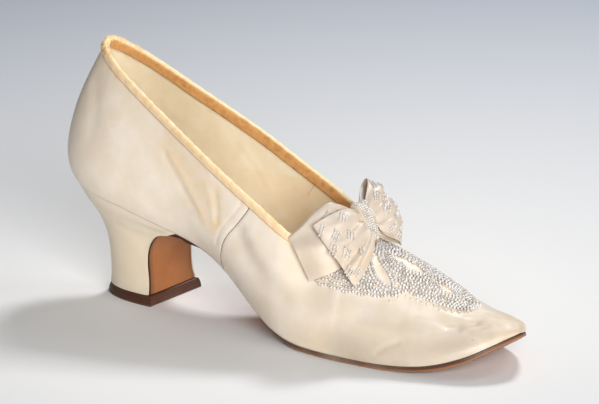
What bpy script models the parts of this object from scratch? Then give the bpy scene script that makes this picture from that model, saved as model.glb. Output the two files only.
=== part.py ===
"""Evening slipper: satin upper on a turned leather sole with a covered curved heel.

All shapes come from the section tables below. Tables are in millimetres and are turned
into metres by MM when a mesh is made. X runs from the heel to the toe, Z is up, the floor
is at zero, and the lateral side is at negative Y.
"""

import math

import bmesh
import bpy
import numpy as np

NAME = "evening_slipper"
MM = 0.001

# Place of the row's origin in the tables: middle of the length and of the width.
CENTRE_X = 122.40
CENTRE_Y = -0.45

# Thicknesses and clearances.
WALL = 1.5
GAP = 0.3
SOLE_FRONT = 2.4
SOLE_TIP = 1.3
SOLE_TIP_RUN = 14.0
SOLE_THIN_X = 80.0
SOLE_THICK_X = 130.0
SOLE_WAIST = 1.9
SOLE_BREAST = 1.6
SOLE_EDGE = 0.5
SOLE_BEVEL = 4.5
SOCK = 1.6
SOCK_INSET = 2.3
SOCK_TOE = 4.0
BIND = 0.6
BIND_OUT = 2.4
BIND_IN = 3.2
BIND_LEAN = 0.45
BEAD = 1.0
BEAD_CLEAR = 3.7
RIBBON = 0.9

# Mesh steps.
STEPS_ALONG = 2
STEPS_UP = 11
BEAD_STEPS = 7
LOOP_STEPS = 16
LOOP_ACROSS = 8
MOTIF_SAMPLES = 500

# Weld distances, in metres.
WELD = 0.00001
MOTIF_WELD = 0.00004

# One row per section of the upper, from the toe to the back of the heel.
# fx, lat, med, fz: where the wall meets the sole, and its reach to each side.
# cy: sideways place of the middle line. tx, th, tz: top of the wall, on the ridge while
# th is zero and on the topline after that. lo_out, lo_up, hi_out, hi_down: how the wall
# leaves the sole and how it arrives at its top.
SECTION_NAMES = ("fx", "lat", "med", "fz", "cy", "tx", "th", "tz",
                 "lo_out", "lo_up", "hi_out", "hi_down")
SECTIONS = (
    (244.2, 0.0, 0.0, 17.3, 3.0, 240.4, 0.0, 20.0, 0.7, 1.8, 2.0, 0.0),
    (242.7, 5.8, 5.4, 16.4, 3.0, 238.9, 0.0, 20.6, 1.1, 2.6, 4.0, 0.0),
    (239.4, 12.6, 11.6, 14.4, 3.0, 235.8, 0.0, 21.3, 1.5, 4.0, 7.0, 0.0),
    (234.6, 19.0, 17.4, 11.6, 2.9, 230.6, 0.0, 22.3, 2.0, 5.2, 10.0, 0.0),
    (228.3, 24.6, 22.6, 8.7, 2.7, 224.6, 0.0, 23.3, 2.4, 6.5, 12.5, 0.0),
    (219.8, 29.0, 26.7, 5.9, 2.4, 217.0, 0.0, 25.1, 2.8, 8.0, 14.0, 0.0),
    (211.5, 31.8, 29.3, 4.2, 2.0, 207.5, 0.0, 29.4, 3.0, 9.5, 15.0, 0.0),
    (201.5, 33.5, 31.4, 3.2, 1.3, 196.5, 0.0, 34.4, 3.2, 11.0, 16.0, 0.0),
    (191.5, 34.5, 32.9, 2.8, 0.7, 185.0, 0.0, 39.2, 3.2, 13.5, 17.5, 0.0),
    (181.0, 34.8, 33.5, 2.7, 0.3, 173.0, 0.0, 42.5, 3.2, 16.0, 20.0, 0.0),
    (171.0, 34.7, 33.4, 2.7, 0.0, 163.0, 0.0, 44.4, 3.2, 18.0, 21.0, 0.0),
    (161.5, 34.3, 32.7, 2.7, 0.0, 160.4, 9.2, 44.0, 3.2, 18.0, 15.5, 2.6),
    (152.0, 33.3, 31.9, 2.8, 0.0, 155.0, 17.2, 44.3, 3.4, 17.5, 10.5, 6.8),
    (142.5, 31.7, 30.4, 3.7, 0.0, 147.5, 23.2, 47.0, 3.8, 16.5, 6.4, 10.0),
    (132.5, 29.4, 28.3, 6.4, 0.0, 138.5, 26.6, 51.8, 4.5, 15.5, 3.8, 13.0),
    (121.5, 26.1, 25.2, 11.7, 0.0, 127.5, 26.8, 58.2, 5.5, 15.0, 2.4, 15.0),
    (110.0, 22.3, 21.6, 18.5, 0.0, 115.0, 26.0, 64.9, 7.0, 14.5, 1.8, 17.0),
    (98.5, 18.6, 18.3, 25.1, 0.0, 102.0, 25.0, 72.0, 8.5, 14.0, 1.8, 18.0),
    (88.0, 16.6, 16.5, 30.3, 0.0, 90.0, 23.8, 78.6, 10.0, 14.0, 2.0, 19.0),
    (79.0, 16.8, 16.8, 34.2, 0.0, 78.0, 21.9, 84.9, 10.5, 14.0, 2.5, 19.5),
    (68.0, 18.9, 18.9, 38.2, 0.0, 66.0, 19.7, 91.2, 9.5, 14.0, 3.5, 20.0),
    (55.0, 21.2, 21.2, 42.3, 0.0, 54.0, 17.4, 97.5, 8.0, 14.0, 5.0, 20.0),
    (40.0, 22.4, 22.4, 46.4, 0.0, 43.0, 15.2, 103.4, 7.0, 14.0, 6.5, 20.0),
    (25.0, 21.2, 21.2, 49.6, 0.0, 33.5, 12.6, 108.6, 7.0, 14.0, 8.0, 20.0),
    (13.0, 16.5, 16.5, 52.4, 0.0, 25.5, 8.8, 113.2, 8.0, 13.0, 9.5, 20.0),
    (6.0, 9.0, 9.0, 54.6, 0.0, 21.0, 4.6, 116.2, 9.5, 12.0, 11.0, 19.5),
    (3.8, 0.0, 0.0, 55.4, 0.0, 19.5, 0.0, 117.3, 11.0, 11.7, 11.5, 19.5),
)
HEEL_ROW = len(SECTIONS) - 1
THROAT_ROW = 10

# Share of the top's direction taken from the line between top and sole, by row; the rest
# is square to the sole's edge.
FAN_ROW = 11
FAN_NEXT = 0.6

# Hidden face of the sole leather where it turns down the heel breast: x, z, half width.
BREAST = (
    (72.5, 36.05, 16.6),
    (66.0, 36.4, 16.8),
    (60.5, 35.6, 17.0),
    (56.6, 33.2, 17.0),
    (54.0, 29.3, 16.9),
    (52.6, 25.0, 16.8),
    (52.2, 20.0, 16.6),
    (52.5, 15.0, 16.5),
    (52.9, 10.0, 16.6),
    (53.5, 4.8, 17.5),
)
SOLE_END_X = 76.0

# Share of the waist's bevel along the sole, from the heel forward: x, share.
SOLE_WAIST_SHARE = (
    (76.0, 0.0),
    (86.0, 1.0),
    (124.0, 1.0),
    (146.0, 0.0),
)

# Levels of the heel block, from the lift to just under the seat.
# z_back, x_back, z_front, x_front, half width, share of the seat's plan shape.
HEEL = (
    (4.8, 23.8, 4.8, 53.2, 18.2, 0.0),
    (8.0, 23.8, 8.2, 52.7, 17.3, 0.0),
    (12.6, 23.9, 12.5, 52.3, 17.0, 0.05),
    (19.3, 23.7, 18.5, 51.85, 17.3, 0.1),
    (26.0, 22.9, 24.5, 52.15, 17.7, 0.2),
    (32.0, 21.2, 29.3, 53.6, 18.4, 0.35),
    (37.7, 17.9, 32.6, 55.75, 19.2, 0.5),
    (42.7, 13.9, 34.8, 58.3, 20.2, 0.65),
    (46.6, 10.4, 36.1, 61.6, 21.0, 0.8),
    (50.8, 7.3, 36.75, 66.0, 21.8, 0.92),
)
HEEL_FRONT_X = 71.0
HEEL_BACK_X = 3.8
HEEL_HALF = 22.4
HEEL_STEPS = 26
HEEL_ROUND = 2.4

# Levels of the top lift: z, x_back, x_front, half width.
LIFT = (
    (0.0, 22.6, 57.0, 19.5),
    (2.2, 22.8, 56.8, 19.2),
    (4.5, 23.8, 56.3, 18.3),
)

# Half width of the raised beadwork along the vamp: x, half width.
MOTIF = (
    (140.0, 28.0),
    (160.0, 28.4),
    (170.0, 27.6),
    (180.0, 25.4),
    (188.0, 22.6),
    (192.5, 19.0),
    (195.0, 15.2),
    (201.0, 14.4),
    (208.0, 12.2),
    (214.0, 9.2),
    (218.0, 6.0),
    (220.5, 3.0),
)
MOTIF_TIP_ROW = 4.5
MOTIF_BACK_ROW = 11.75
MOTIF_ROWS = 30

# Bow: middle of the knot and slope of its face.
KNOT = (166.5, 0.0, 56.2)
BOW_SLOPE = 46.8
KNOT_HALF = 4.0
LOOP_BACK = 3.0
LOOP_CLEAR = 0.5
LOOP_FLARE = 0.6
LOOP_SAG = 1.6

# One row per loop. side: -1 lateral, 1 medial. reach: length out to the fold. root, end:
# half width at the knot and at the fold. droop, slide: how far the fold drops and slips
# down the bow. pinch: half depth at the knot. puff_top, puff_low: swelling of the two
# layers at the upper and lower edge. shear: how far the back layer passes the front.
# crown: how far the middle of the loop stands up. tuck: how far its lower corner is drawn in.
LOOP_NAMES = ("side", "reach", "root", "end", "droop", "slide", "pinch",
              "puff_top", "puff_low", "shear", "crown", "tuck")
LOOPS = {
    "bow_loop_lateral": (-1.0, 20.0, 6.2, 16.6, 8.6, 6.4, 1.5, 6.5, 0.4, 3.0, 0.0, 0.0),
    "bow_loop_medial": (1.0, 17.0, 6.2, 17.2, 7.0, -3.6, 1.5, 5.0, 1.2, 1.5, 5.5, 5.0),
}

# Side outline of the wrap over the bow, standing on the beadwork: x, z.
KNOT_PROFILE = (
    (156.8, 60.8),
    (158.2, 63.2),
    (160.6, 63.2),
    (163.8, 59.8),
    (166.4, 55.2),
    (167.4, 50.5),
    (167.2, 46.6),
    (160.8, 46.8),
    (158.0, 53.6),
)
KNOT_ROUND = 1.1


def index_curve(values, kind):
    """Slopes at the rows of a closed curve whose parameter is the row number."""
    before = np.roll(values, 1)
    after = np.roll(values, -1)
    count = len(values)
    if kind == "smooth":
        matrix = 4.0 * np.eye(count)
        matrix += np.roll(np.eye(count), 1, axis=1)
        matrix += np.roll(np.eye(count), -1, axis=1)
        return np.linalg.solve(matrix, 3.0 * (after - before))
    low = values - before
    high = after - values
    both = low * high
    total = np.where(np.abs(low + high) < 1e-9, 1.0, low + high)
    return np.where(both > 0.0, 2.0 * both / total, 0.0)


def hermite(values, slopes, rows):
    """Value of the closed curve at fractional row numbers."""
    count = len(values)
    base = np.floor(rows).astype(int)
    part = rows - base
    first = base % count
    second = (base + 1) % count
    a = 2 * part ** 3 - 3 * part ** 2 + 1
    b = part ** 3 - 2 * part ** 2 + part
    c = -2 * part ** 3 + 3 * part ** 2
    d = part ** 3 - part ** 2
    return a * values[first] + b * slopes[first] + c * values[second] + d * slopes[second]


def unit(vectors):
    """Vectors scaled to length one."""
    return vectors / np.maximum(np.linalg.norm(vectors, axis=-1, keepdims=True), 1e-12)


class UpperShape:
    """Outer face of the upper as a function of row number and height share."""

    def __init__(self):
        table = np.array(SECTIONS)
        rows = list(range(len(SECTIONS))) + list(range(HEEL_ROW - 1, 0, -1))
        side = np.array([1.0 if i <= HEEL_ROW else -1.0 for i in range(len(rows))])
        column = {name: table[rows, i] for i, name in enumerate(SECTION_NAMES)}
        reach = np.where(side > 0, -column["lat"], column["med"])
        ridge = np.gradient(table[:, 7], table[:, 5])
        ridge[THROAT_ROW + 1:] = 0.0
        self.count = len(rows)
        self.data = {}
        self.add("fx", column["fx"], "smooth")
        self.add("fy", column["cy"] + reach, "smooth")
        self.add("fz", column["fz"], "flat")
        self.add("cy", column["cy"], "flat")
        self.add("slope", ridge[rows], "flat")
        fan = np.where(np.array(rows) <= FAN_ROW, 1.0, 0.0)
        fan[np.array(rows) == FAN_ROW + 1] = FAN_NEXT
        self.add("fan", fan, "flat")
        for name in SECTION_NAMES[8:]:
            self.add(name, column[name], "flat")
        top = np.stack([column["tx"], column["cy"] - side * column["th"], column["tz"]], -1)
        self.edge = top[THROAT_ROW:self.count - THROAT_ROW]
        self.edge_way = np.stack([index_curve(self.edge[:, i], "smooth") for i in range(3)], -1)
        self.ridge = top[:THROAT_ROW + 1]
        self.ridge_way = np.gradient(self.ridge, axis=0)

    def add(self, name, values, kind):
        """Keep one column with its slopes."""
        self.data[name] = (values, index_curve(values, kind))

    def get(self, name, rows):
        """One column at fractional rows."""
        values, slopes = self.data[name]
        return hermite(values, slopes, rows)

    def foot(self, rows):
        """Points where the wall meets the sole."""
        return np.stack([self.get("fx", rows), self.get("fy", rows), self.get("fz", rows)], -1)

    def top(self, rows):
        """Points on the ridge or on the topline."""
        turn = np.mod(np.asarray(rows, float), self.count)
        fold = np.minimum(turn, self.count - turn)
        on_ridge = np.minimum(fold, THROAT_ROW - 1e-6)
        on_edge = np.mod(turn - THROAT_ROW, len(self.edge))
        found = []
        for i in range(3):
            ridge = hermite(self.ridge[:, i], self.ridge_way[:, i], on_ridge)
            edge = hermite(self.edge[:, i], self.edge_way[:, i], on_edge)
            found.append(np.where(fold < THROAT_ROW, ridge, edge))
        return np.stack(found, -1)

    def out(self, rows):
        """Level direction out of the shoe along the sole's edge."""
        step = 0.02
        way = self.foot(rows + step) - self.foot(rows - step)
        flat = np.stack([-way[:, 1], way[:, 0], np.zeros(len(way))], -1)
        return unit(flat)

    def point(self, rows, share):
        """Points on the outer face; share runs from 0 at the sole to 1 at the top."""
        rows = np.asarray(rows, float)
        share = np.asarray(share, float)[..., None]
        foot = self.foot(rows)
        top = self.top(rows)
        out = self.out(rows)
        rise = np.array([0.0, 0.0, 1.0])
        low = foot + out * self.get("lo_out", rows)[:, None]
        low = low + rise * self.get("lo_up", rows)[:, None]
        fan = self.get("fan", rows)[:, None]
        spread = unit((foot - top) * np.array([1.0, 1.0, 0.0]))
        lean = unit(fan * spread + (1.0 - fan) * out)
        lean = lean + rise * (lean[:, 0] * self.get("slope", rows))[:, None]
        high = top + lean * self.get("hi_out", rows)[:, None]
        high = high - rise * self.get("hi_down", rows)[:, None]
        left = 1.0 - share
        curve = left ** 3 * foot + 3 * left ** 2 * share * low
        return curve + 3 * left * share ** 2 * high + share ** 3 * top

    def normal(self, rows, share):
        """Outward direction of the face."""
        rows = np.asarray(rows, float)
        share = np.asarray(share, float)
        high = np.minimum(share + 0.01, 1.0)
        low = np.maximum(share - 0.01, 0.0)
        along = self.point(rows + 0.03, share) - self.point(rows - 0.03, share)
        up = self.point(rows, high) - self.point(rows, low)
        return unit(np.cross(up, along))

    def foot_z(self, x):
        """Height of the sole's edge at a distance from the heel."""
        rows = np.linspace(HEEL_ROW, 0, 600)
        foot = self.foot(rows)
        return np.interp(x, foot[:, 0], foot[:, 2])


def place(points):
    """Table millimetres to metres in the row's frame."""
    shifted = np.asarray(points, float) - np.array([CENTRE_X, CENTRE_Y, 0.0])
    return shifted * MM


def new_object(name, verts, faces, home):
    """Mesh object from points in table millimetres."""
    mesh = bpy.data.meshes.new(name)
    mesh.from_pydata([tuple(p) for p in place(verts)], [], faces)
    mesh.validate()
    mesh.update()
    item = bpy.data.objects.new(name, mesh)
    home.objects.link(item)
    return item


def clean(item):
    """Weld shared edges and turn all faces outward."""
    mesh = item.data
    work = bmesh.new()
    work.from_mesh(mesh)
    bmesh.ops.remove_doubles(work, verts=work.verts, dist=WELD)
    bmesh.ops.dissolve_degenerate(work, dist=0.000001, edges=work.edges)
    bmesh.ops.recalc_face_normals(work, faces=work.faces)
    work.to_mesh(mesh)
    work.free()
    mesh.update()


def apply_modifiers(item):
    """Replace the mesh by its modified form."""
    graph = bpy.context.evaluated_depsgraph_get()
    done = bpy.data.meshes.new_from_object(item.evaluated_get(graph))
    old = item.data
    item.modifiers.clear()
    item.data = done
    bpy.data.meshes.remove(old)


def thicken(item, thickness, side):
    """Solidify a sheet; side is 1 outward, -1 inward and 0 both ways."""
    solid = item.modifiers.new("thickness", "SOLIDIFY")
    solid.thickness = thickness * MM
    solid.offset = side
    solid.use_even_offset = True
    solid.use_quality_normals = True
    solid.use_rim = True
    apply_modifiers(item)


def loft(name, rings, home, strips=False):
    """Closed solid through rings of equal count, with both ends capped."""
    count = len(rings[0])
    verts = [point for ring in rings for point in ring]
    faces = []
    for i in range(len(rings) - 1):
        for j in range(count):
            k = (j + 1) % count
            a = i * count
            b = a + count
            faces.append((a + j, a + k, b + k, b + j))
    for start in (0, (len(rings) - 1) * count):
        if not strips:
            faces.append(tuple(start + j for j in range(count)))
            continue
        for j in range((count - 1) // 2):
            ring = (j, j + 1, count - 2 - j, count - 1 - j)
            face = []
            for corner in ring:
                if start + corner not in face:
                    face.append(start + corner)
            if len(face) > 2:
                faces.append(tuple(face))
    item = new_object(name, verts, faces, home)
    clean(item)
    return item


def make_upper(shape, home):
    """Hollow upper, open at the collar and underneath."""
    total = shape.count * STEPS_ALONG
    rows = np.arange(total) / STEPS_ALONG
    verts = []
    for level in range(STEPS_UP + 1):
        verts.extend(shape.point(rows, np.full(total, level / STEPS_UP)))
    faces = []
    for level in range(STEPS_UP):
        for i in range(total):
            j = (i + 1) % total
            a = level * total
            b = a + total
            faces.append((a + i, b + i, b + j, a + j))
    item = new_object("upper", verts, faces, home)
    mesh = item.data
    work = bmesh.new()
    work.from_mesh(mesh)
    bmesh.ops.remove_doubles(work, verts=work.verts, dist=WELD)
    work.to_mesh(mesh)
    work.free()
    thicken(item, WALL, -1.0)
    clean(item)
    return item


def make_outsole(shape, home):
    """Sole leather from the toe to the foot of the heel breast."""
    rows = np.concatenate([[0.3, 0.65], np.arange(1.0, HEEL_ROW, 0.5)])
    lat = shape.foot(rows)
    med = shape.foot(-rows)
    stations = []
    for a, b in zip(lat, med):
        if a[0] > SOLE_END_X:
            stations.append((a[0], a[2] - GAP, a[1], b[1]))
    for x, z, half in BREAST:
        stations.append((x, z, -half, half))
    path = np.array(stations)
    way = np.gradient(path[:, :2], axis=0)
    way = unit(way)
    face = np.stack([way[:, 1], -way[:, 0]], -1)
    face = np.where((face[:, 1:] > 0.0) & (path[:, :1] > SOLE_END_X), -face, face)
    rings = []
    for i, (x, z, y_lat, y_med) in enumerate(stations):
        share = min(max((x - SOLE_THIN_X) / (SOLE_THICK_X - SOLE_THIN_X), 0.0), 1.0)
        thick = SOLE_WAIST + (SOLE_FRONT - SOLE_WAIST) * share
        tip = min(max((SECTIONS[0][0] - x) / SOLE_TIP_RUN, 0.0), 1.0)
        thick = SOLE_TIP + (thick - SOLE_TIP) * tip
        if x < SOLE_END_X:
            thick = SOLE_BREAST
        nx, nz = turned(face[i])
        bx = x + nx * thick
        bz = z + nz * thick
        inset = sole_inset(x)
        rings.append(((x, y_lat, z), (x, y_med, z),
                      (bx, y_med - inset, bz), (bx, y_lat + inset, bz)))
    return loft("outsole", rings, home)


def sole_inset(x):
    """How far the worn face stands in from the sole's edge, most at the bevelled waist."""
    share = np.interp(x, [row[0] for row in SOLE_WAIST_SHARE], [row[1] for row in SOLE_WAIST_SHARE])
    return SOLE_EDGE + SOLE_BEVEL * share


def turned(direction):
    """Direction towards the worn face: down on the sole, forward on the breast."""
    nx, nz = direction
    if nx - nz < 0.0:
        return -nx, -nz
    return nx, nz


def heel_plan(shape):
    """Seat outline from the lateral front corner round the back to the medial one."""
    rows = np.linspace(HEEL_ROW - 10, HEEL_ROW, 400)
    x = shape.foot(rows)[:, 0]
    start = np.interp(-HEEL_FRONT_X, -x, rows)
    return shape.foot(np.linspace(start, 2 * HEEL_ROW - start, HEEL_STEPS + 1))


def heel_ring(seat, back, front, half, blend):
    """One level of the heel: back and front are (x, z)."""
    ring = []
    for x, y, _ in seat:
        share = (HEEL_FRONT_X - x) / (HEEL_FRONT_X - HEEL_BACK_X)
        share = min(max(share, 0.0), 1.0)
        plain = (1.0 - share ** HEEL_ROUND) ** (1.0 / HEEL_ROUND)
        plain = math.copysign(plain, y)
        wide = half * (blend * y / HEEL_HALF + (1.0 - blend) * plain)
        ring.append((front[0] + share * (back[0] - front[0]), wide,
                     front[1] + share * (back[1] - front[1])))
    return ring


def make_heel(shape, home):
    """Curved heel block under the seat."""
    seat = heel_plan(shape)
    rings = []
    for z_back, x_back, z_front, x_front, half, blend in HEEL:
        rings.append(heel_ring(seat, (x_back, z_back), (x_front, z_front), half, blend))
    rings.append([(x, y, z - GAP) for x, y, z in seat])
    return loft("heel", rings, home, strips=True)


def make_lift(shape, home):
    """Dark lift that stands on the floor."""
    seat = heel_plan(shape)
    rings = []
    for z, x_back, x_front, half in LIFT:
        rings.append(heel_ring(seat, (x_back, z), (x_front, z), half, 0.0))
    return loft("top_lift", rings, home, strips=True)


def make_insole(shape, home):
    """Board inside the shoe, clear of the wall all round."""
    rows = np.arange(0.5, HEEL_ROW, 0.5)
    rings = []
    for row in rows:
        pair = np.array([row, -row])
        foot = shape.foot(pair)
        out = shape.out(pair)
        inset = SOCK_INSET + SOCK_TOE * max(0.0, 1.0 - row / 4.0)
        edge = foot - out * inset
        z = shape.foot_z(edge[:, 0])
        ring = []
        for index, rise in ((0, 0.0), (1, 0.0), (1, SOCK), (0, SOCK)):
            ring.append((edge[index, 0], edge[index, 1], z[index] + rise))
        rings.append(ring)
    return loft("insole", rings, home)


def topline(shape):
    """Rows, points, outward directions and downward directions along the opening."""
    rows = np.arange(THROAT_ROW, shape.count - THROAT_ROW, 0.5)
    points = shape.top(rows)
    along = unit(np.roll(points, -1, axis=0) - np.roll(points, 1, axis=0))
    out = shape.normal(rows, np.full(len(rows), 0.985))
    out[0] = unit(np.array([out[0, 0], 0.0, out[0, 2]]))
    out = unit(out - along * np.sum(out * along, axis=1)[:, None])
    down = unit(-np.cross(along, out))
    return rows, points, out, down


def on_face(shape, points):
    """Nearest places on the upper's outer face, with the outward directions there."""
    rows, shares = np.meshgrid(np.arange(0.0, shape.count, 0.1), np.linspace(0.5, 1.0, 41))
    rows = rows.ravel()
    shares = shares.ravel()
    face = shape.point(rows, shares)
    near = []
    for point in points:
        near.append(int(np.argmin(np.sum((face - point) ** 2, axis=1))))
    return face[near], shape.normal(rows[near], np.minimum(shares[near], 0.985))


def make_binding(shape, home):
    """Ribbon folded over the edge of the opening."""
    _, points, out, down = topline(shape)
    inner = -WALL - GAP
    fold = (
        (GAP + BIND, -GAP - 0.4 * BIND),
        (-0.5 * WALL, -GAP - BIND),
        (inner - BIND, -GAP - 0.4 * BIND),
        (inner, -GAP),
        (GAP, -GAP),
    )
    low_out, way_out = on_face(shape, points + BIND_OUT * down)
    low_in, way_in = on_face(shape, points + BIND_IN * down)
    count = len(fold) + 4
    total = len(points)
    verts = []
    for i in range(total):
        ring = [points[i] + out[i] * off + down[i] * drop for off, drop in fold]
        lip = [low_in[i] + way_in[i] * (inner - BIND - BIND_LEAN),
               low_in[i] + way_in[i] * (inner - BIND_LEAN)]
        hem = [low_out[i] + way_out[i] * GAP, low_out[i] + way_out[i] * (GAP + BIND)]
        verts.extend(ring[:3] + lip + ring[3:] + hem)
    faces = []
    for i in range(total):
        j = (i + 1) % total
        for a in range(count):
            b = (a + 1) % count
            faces.append((i * count + a, i * count + b, j * count + b, j * count + a))
    item = new_object("collar_binding", verts, faces, home)
    clean(item)
    return item


def motif_limits(shape, row, edge):
    """Share of the wall covered by the beadwork at one row: lower and upper."""
    shares = np.linspace(1.0, 0.0, MOTIF_SAMPLES)
    points = shape.point(np.full(MOTIF_SAMPLES, row), shares)
    centre = shape.get("cy", np.array([row]))[0]
    reach = np.abs(points[:, 1] - centre)
    limit = np.interp(points[:, 0], [r[0] for r in MOTIF], [r[1] for r in MOTIF])
    beyond = np.nonzero(reach > limit)[0]
    low = shares[beyond[0]] if len(beyond) else 0.0
    gaps = np.linalg.norm(points[:, None, :] - edge[None, :, :], axis=2).min(axis=1)
    clear = np.nonzero(gaps >= BEAD_CLEAR)[0]
    return low, shares[clear[0]]


def make_beadwork(shape, home):
    """Raised motif on the vamp, laid on the upper's own face."""
    fine = np.arange(THROAT_ROW, shape.count - THROAT_ROW, 0.05)
    edge = shape.top(fine)
    verts = []
    faces = []
    width = BEAD_STEPS + 1
    for side in (1.0, -1.0):
        start = len(verts)
        rows = np.linspace(MOTIF_TIP_ROW, MOTIF_BACK_ROW, MOTIF_ROWS)
        for row in rows:
            low, high = motif_limits(shape, row, edge)
            shares = np.linspace(high, low, width)
            index = np.full(width, side * row)
            points = shape.point(index, shares)
            verts.extend(points + GAP * shape.normal(index, shares))
        for i in range(MOTIF_ROWS - 1):
            for j in range(BEAD_STEPS):
                a = start + i * width + j
                b = a + width
                faces.append((a, b, b + 1, a + 1) if side > 0 else (a, a + 1, b + 1, b))
    item = new_object("vamp_beadwork", verts, faces, home)
    mesh = item.data
    work = bmesh.new()
    work.from_mesh(mesh)
    bmesh.ops.remove_doubles(work, verts=work.verts, dist=MOTIF_WELD)
    bmesh.ops.recalc_face_normals(work, faces=work.faces)
    up = sum((face.normal.z * face.calc_area() for face in work.faces), 0.0)
    if up < 0.0:
        bmesh.ops.reverse_faces(work, faces=work.faces)
    work.to_mesh(mesh)
    work.free()
    thicken(item, BEAD, 1.0)
    clean(item)
    return item


def make_loop(name, home):
    """Ribbon loop: front layer out to the fold and back layer home again."""
    size = dict(zip(LOOP_NAMES, LOOPS[name]))
    tilt = math.radians(BOW_SLOPE)
    slope = np.array([math.cos(tilt), 0.0, -math.sin(tilt)])
    face = np.array([math.sin(tilt), 0.0, math.cos(tilt)])
    knot = np.array(KNOT)
    verts = []
    for i in range(LOOP_STEPS + 1):
        turn = math.pi * i / LOOP_STEPS
        far = math.sin(turn)
        half = size["root"] + (size["end"] - size["root"]) * far ** LOOP_FLARE
        out = KNOT_HALF + LOOP_CLEAR + size["reach"] * far
        out += size["shear"] * far * 0.5 * (1.0 - math.cos(turn))
        for j in range(LOOP_ACROSS + 1):
            across = 2.0 * j / LOOP_ACROSS - 1.0
            share = 0.5 * (across + 1.0)
            puff = size["puff_top"] + (size["puff_low"] - size["puff_top"]) * share
            lift = math.cos(turn) * (size["pinch"] + puff * far)
            lift -= size["droop"] * far ** LOOP_SAG + LOOP_BACK * (1.0 - far)
            lift += size["crown"] * far * (1.0 - across ** 2)
            point = knot + slope * (across * half + size["slide"] * far) + face * lift
            point[1] += size["side"] * (out - size["tuck"] * far * max(across, 0.0) ** 2)
            verts.append(point)
    faces = []
    width = LOOP_ACROSS + 1
    for i in range(LOOP_STEPS):
        for j in range(LOOP_ACROSS):
            a = i * width + j
            faces.append((a, a + 1, a + width + 1, a + width))
    item = new_object(name, verts, faces, home)
    thicken(item, RIBBON, 0.0)
    clean(item)
    return item


def make_knot(home):
    """Wrap over the middle of the bow."""
    rings = []
    for y in (-KNOT_HALF, KNOT_HALF):
        rings.append([(x, y, z) for x, z in KNOT_PROFILE])
    item = loft("bow_knot", rings, home)
    soft = item.modifiers.new("soft", "BEVEL")
    soft.width = KNOT_ROUND * MM
    soft.segments = 2
    soft.limit_method = "ANGLE"
    apply_modifiers(item)
    clean(item)
    return item


def paint(item, colour, rough):
    """Give a node its own material."""
    skin = bpy.data.materials.new(item.name)
    skin.use_nodes = True
    shader = skin.node_tree.nodes["Principled BSDF"]
    shader.inputs["Base Color"].default_value = (*colour, 1.0)
    shader.inputs["Roughness"].default_value = rough
    skin.diffuse_color = (*colour, 1.0)
    item.data.materials.clear()
    item.data.materials.append(skin)


def main():
    """Build the slipper in an empty scene."""
    for item in list(bpy.data.objects):
        bpy.data.objects.remove(item, do_unlink=True)
    home = bpy.data.collections.new(NAME)
    bpy.context.scene.collection.children.link(home)
    shape = UpperShape()
    satin = (0.80, 0.72, 0.58)
    paint(make_upper(shape, home), satin, 0.5)
    paint(make_outsole(shape, home), (0.42, 0.22, 0.09), 0.6)
    paint(make_heel(shape, home), (0.80, 0.71, 0.56), 0.5)
    paint(make_lift(shape, home), (0.07, 0.035, 0.02), 0.6)
    paint(make_insole(shape, home), (0.78, 0.68, 0.48), 0.7)
    paint(make_binding(shape, home), (0.80, 0.68, 0.40), 0.6)
    paint(make_beadwork(shape, home), (0.66, 0.60, 0.50), 0.3)
    for name in LOOPS:
        paint(make_loop(name, home), (0.82, 0.73, 0.62), 0.5)
    paint(make_knot(home), (0.82, 0.73, 0.62), 0.5)


main()
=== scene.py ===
"""Evening slipper: satin, lining, ribbon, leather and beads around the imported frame.

Tables are in millimetres: X runs from the heel to the toe, Z is up, the floor is at zero
and the lateral side is at negative Y. place() turns them into metres in the frame.
"""

import itertools
import math
import random

import bmesh
import bpy
import numpy as np
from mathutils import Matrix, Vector
from mathutils.bvhtree import BVHTree


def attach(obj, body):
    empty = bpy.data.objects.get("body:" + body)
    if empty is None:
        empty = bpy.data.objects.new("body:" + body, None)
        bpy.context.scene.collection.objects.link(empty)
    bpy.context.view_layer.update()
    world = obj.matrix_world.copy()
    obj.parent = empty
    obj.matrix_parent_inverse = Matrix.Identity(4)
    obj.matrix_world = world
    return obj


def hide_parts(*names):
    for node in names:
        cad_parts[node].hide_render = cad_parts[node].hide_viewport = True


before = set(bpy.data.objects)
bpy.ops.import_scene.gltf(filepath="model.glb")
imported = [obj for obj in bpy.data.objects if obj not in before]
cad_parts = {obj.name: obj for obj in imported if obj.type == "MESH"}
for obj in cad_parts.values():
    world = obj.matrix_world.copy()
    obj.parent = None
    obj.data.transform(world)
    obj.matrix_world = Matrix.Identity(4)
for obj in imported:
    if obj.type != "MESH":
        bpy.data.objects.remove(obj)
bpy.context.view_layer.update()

bl_info = {
    "name": "Evening Slipper",
    "version": (1, 0, 0),
    "blender": (4, 5, 0),
    "location": "3D View > Sidebar > Slipper",
    "description": "Satin, ribbon, leather and beadwork of an evening slipper",
    "category": "Object",
}

BODY = "root"
MM = 0.001

# Place of the frame's origin in the tables.
CENTRE = np.array([122.40, -0.45, 0.0])

# Depths in the wall of the satin's back and the lining's face, and the creases' share in the lining.
SATIN_BACK = 0.7
LINING_FACE = 0.78
LINING_FOLLOW = 0.3

# Thicknesses and clearances shared with the solids.
WALL = 1.5
GAP = 0.3
SOLE_FRONT = 2.4
SOLE_TIP = 1.3
SOLE_TIP_RUN = 14.0
SOLE_THIN_X = 80.0
SOLE_THICK_X = 130.0
SOLE_WAIST = 1.9
SOLE_BREAST = 1.6
SOLE_EDGE = 0.5
SOLE_BEVEL = 4.5
SOLE_END_X = 76.0
SOCK = 1.6
SOCK_INSET = 2.3
SOCK_TOE = 4.0
SOCK_TOE_ROWS = 4.0

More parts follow.
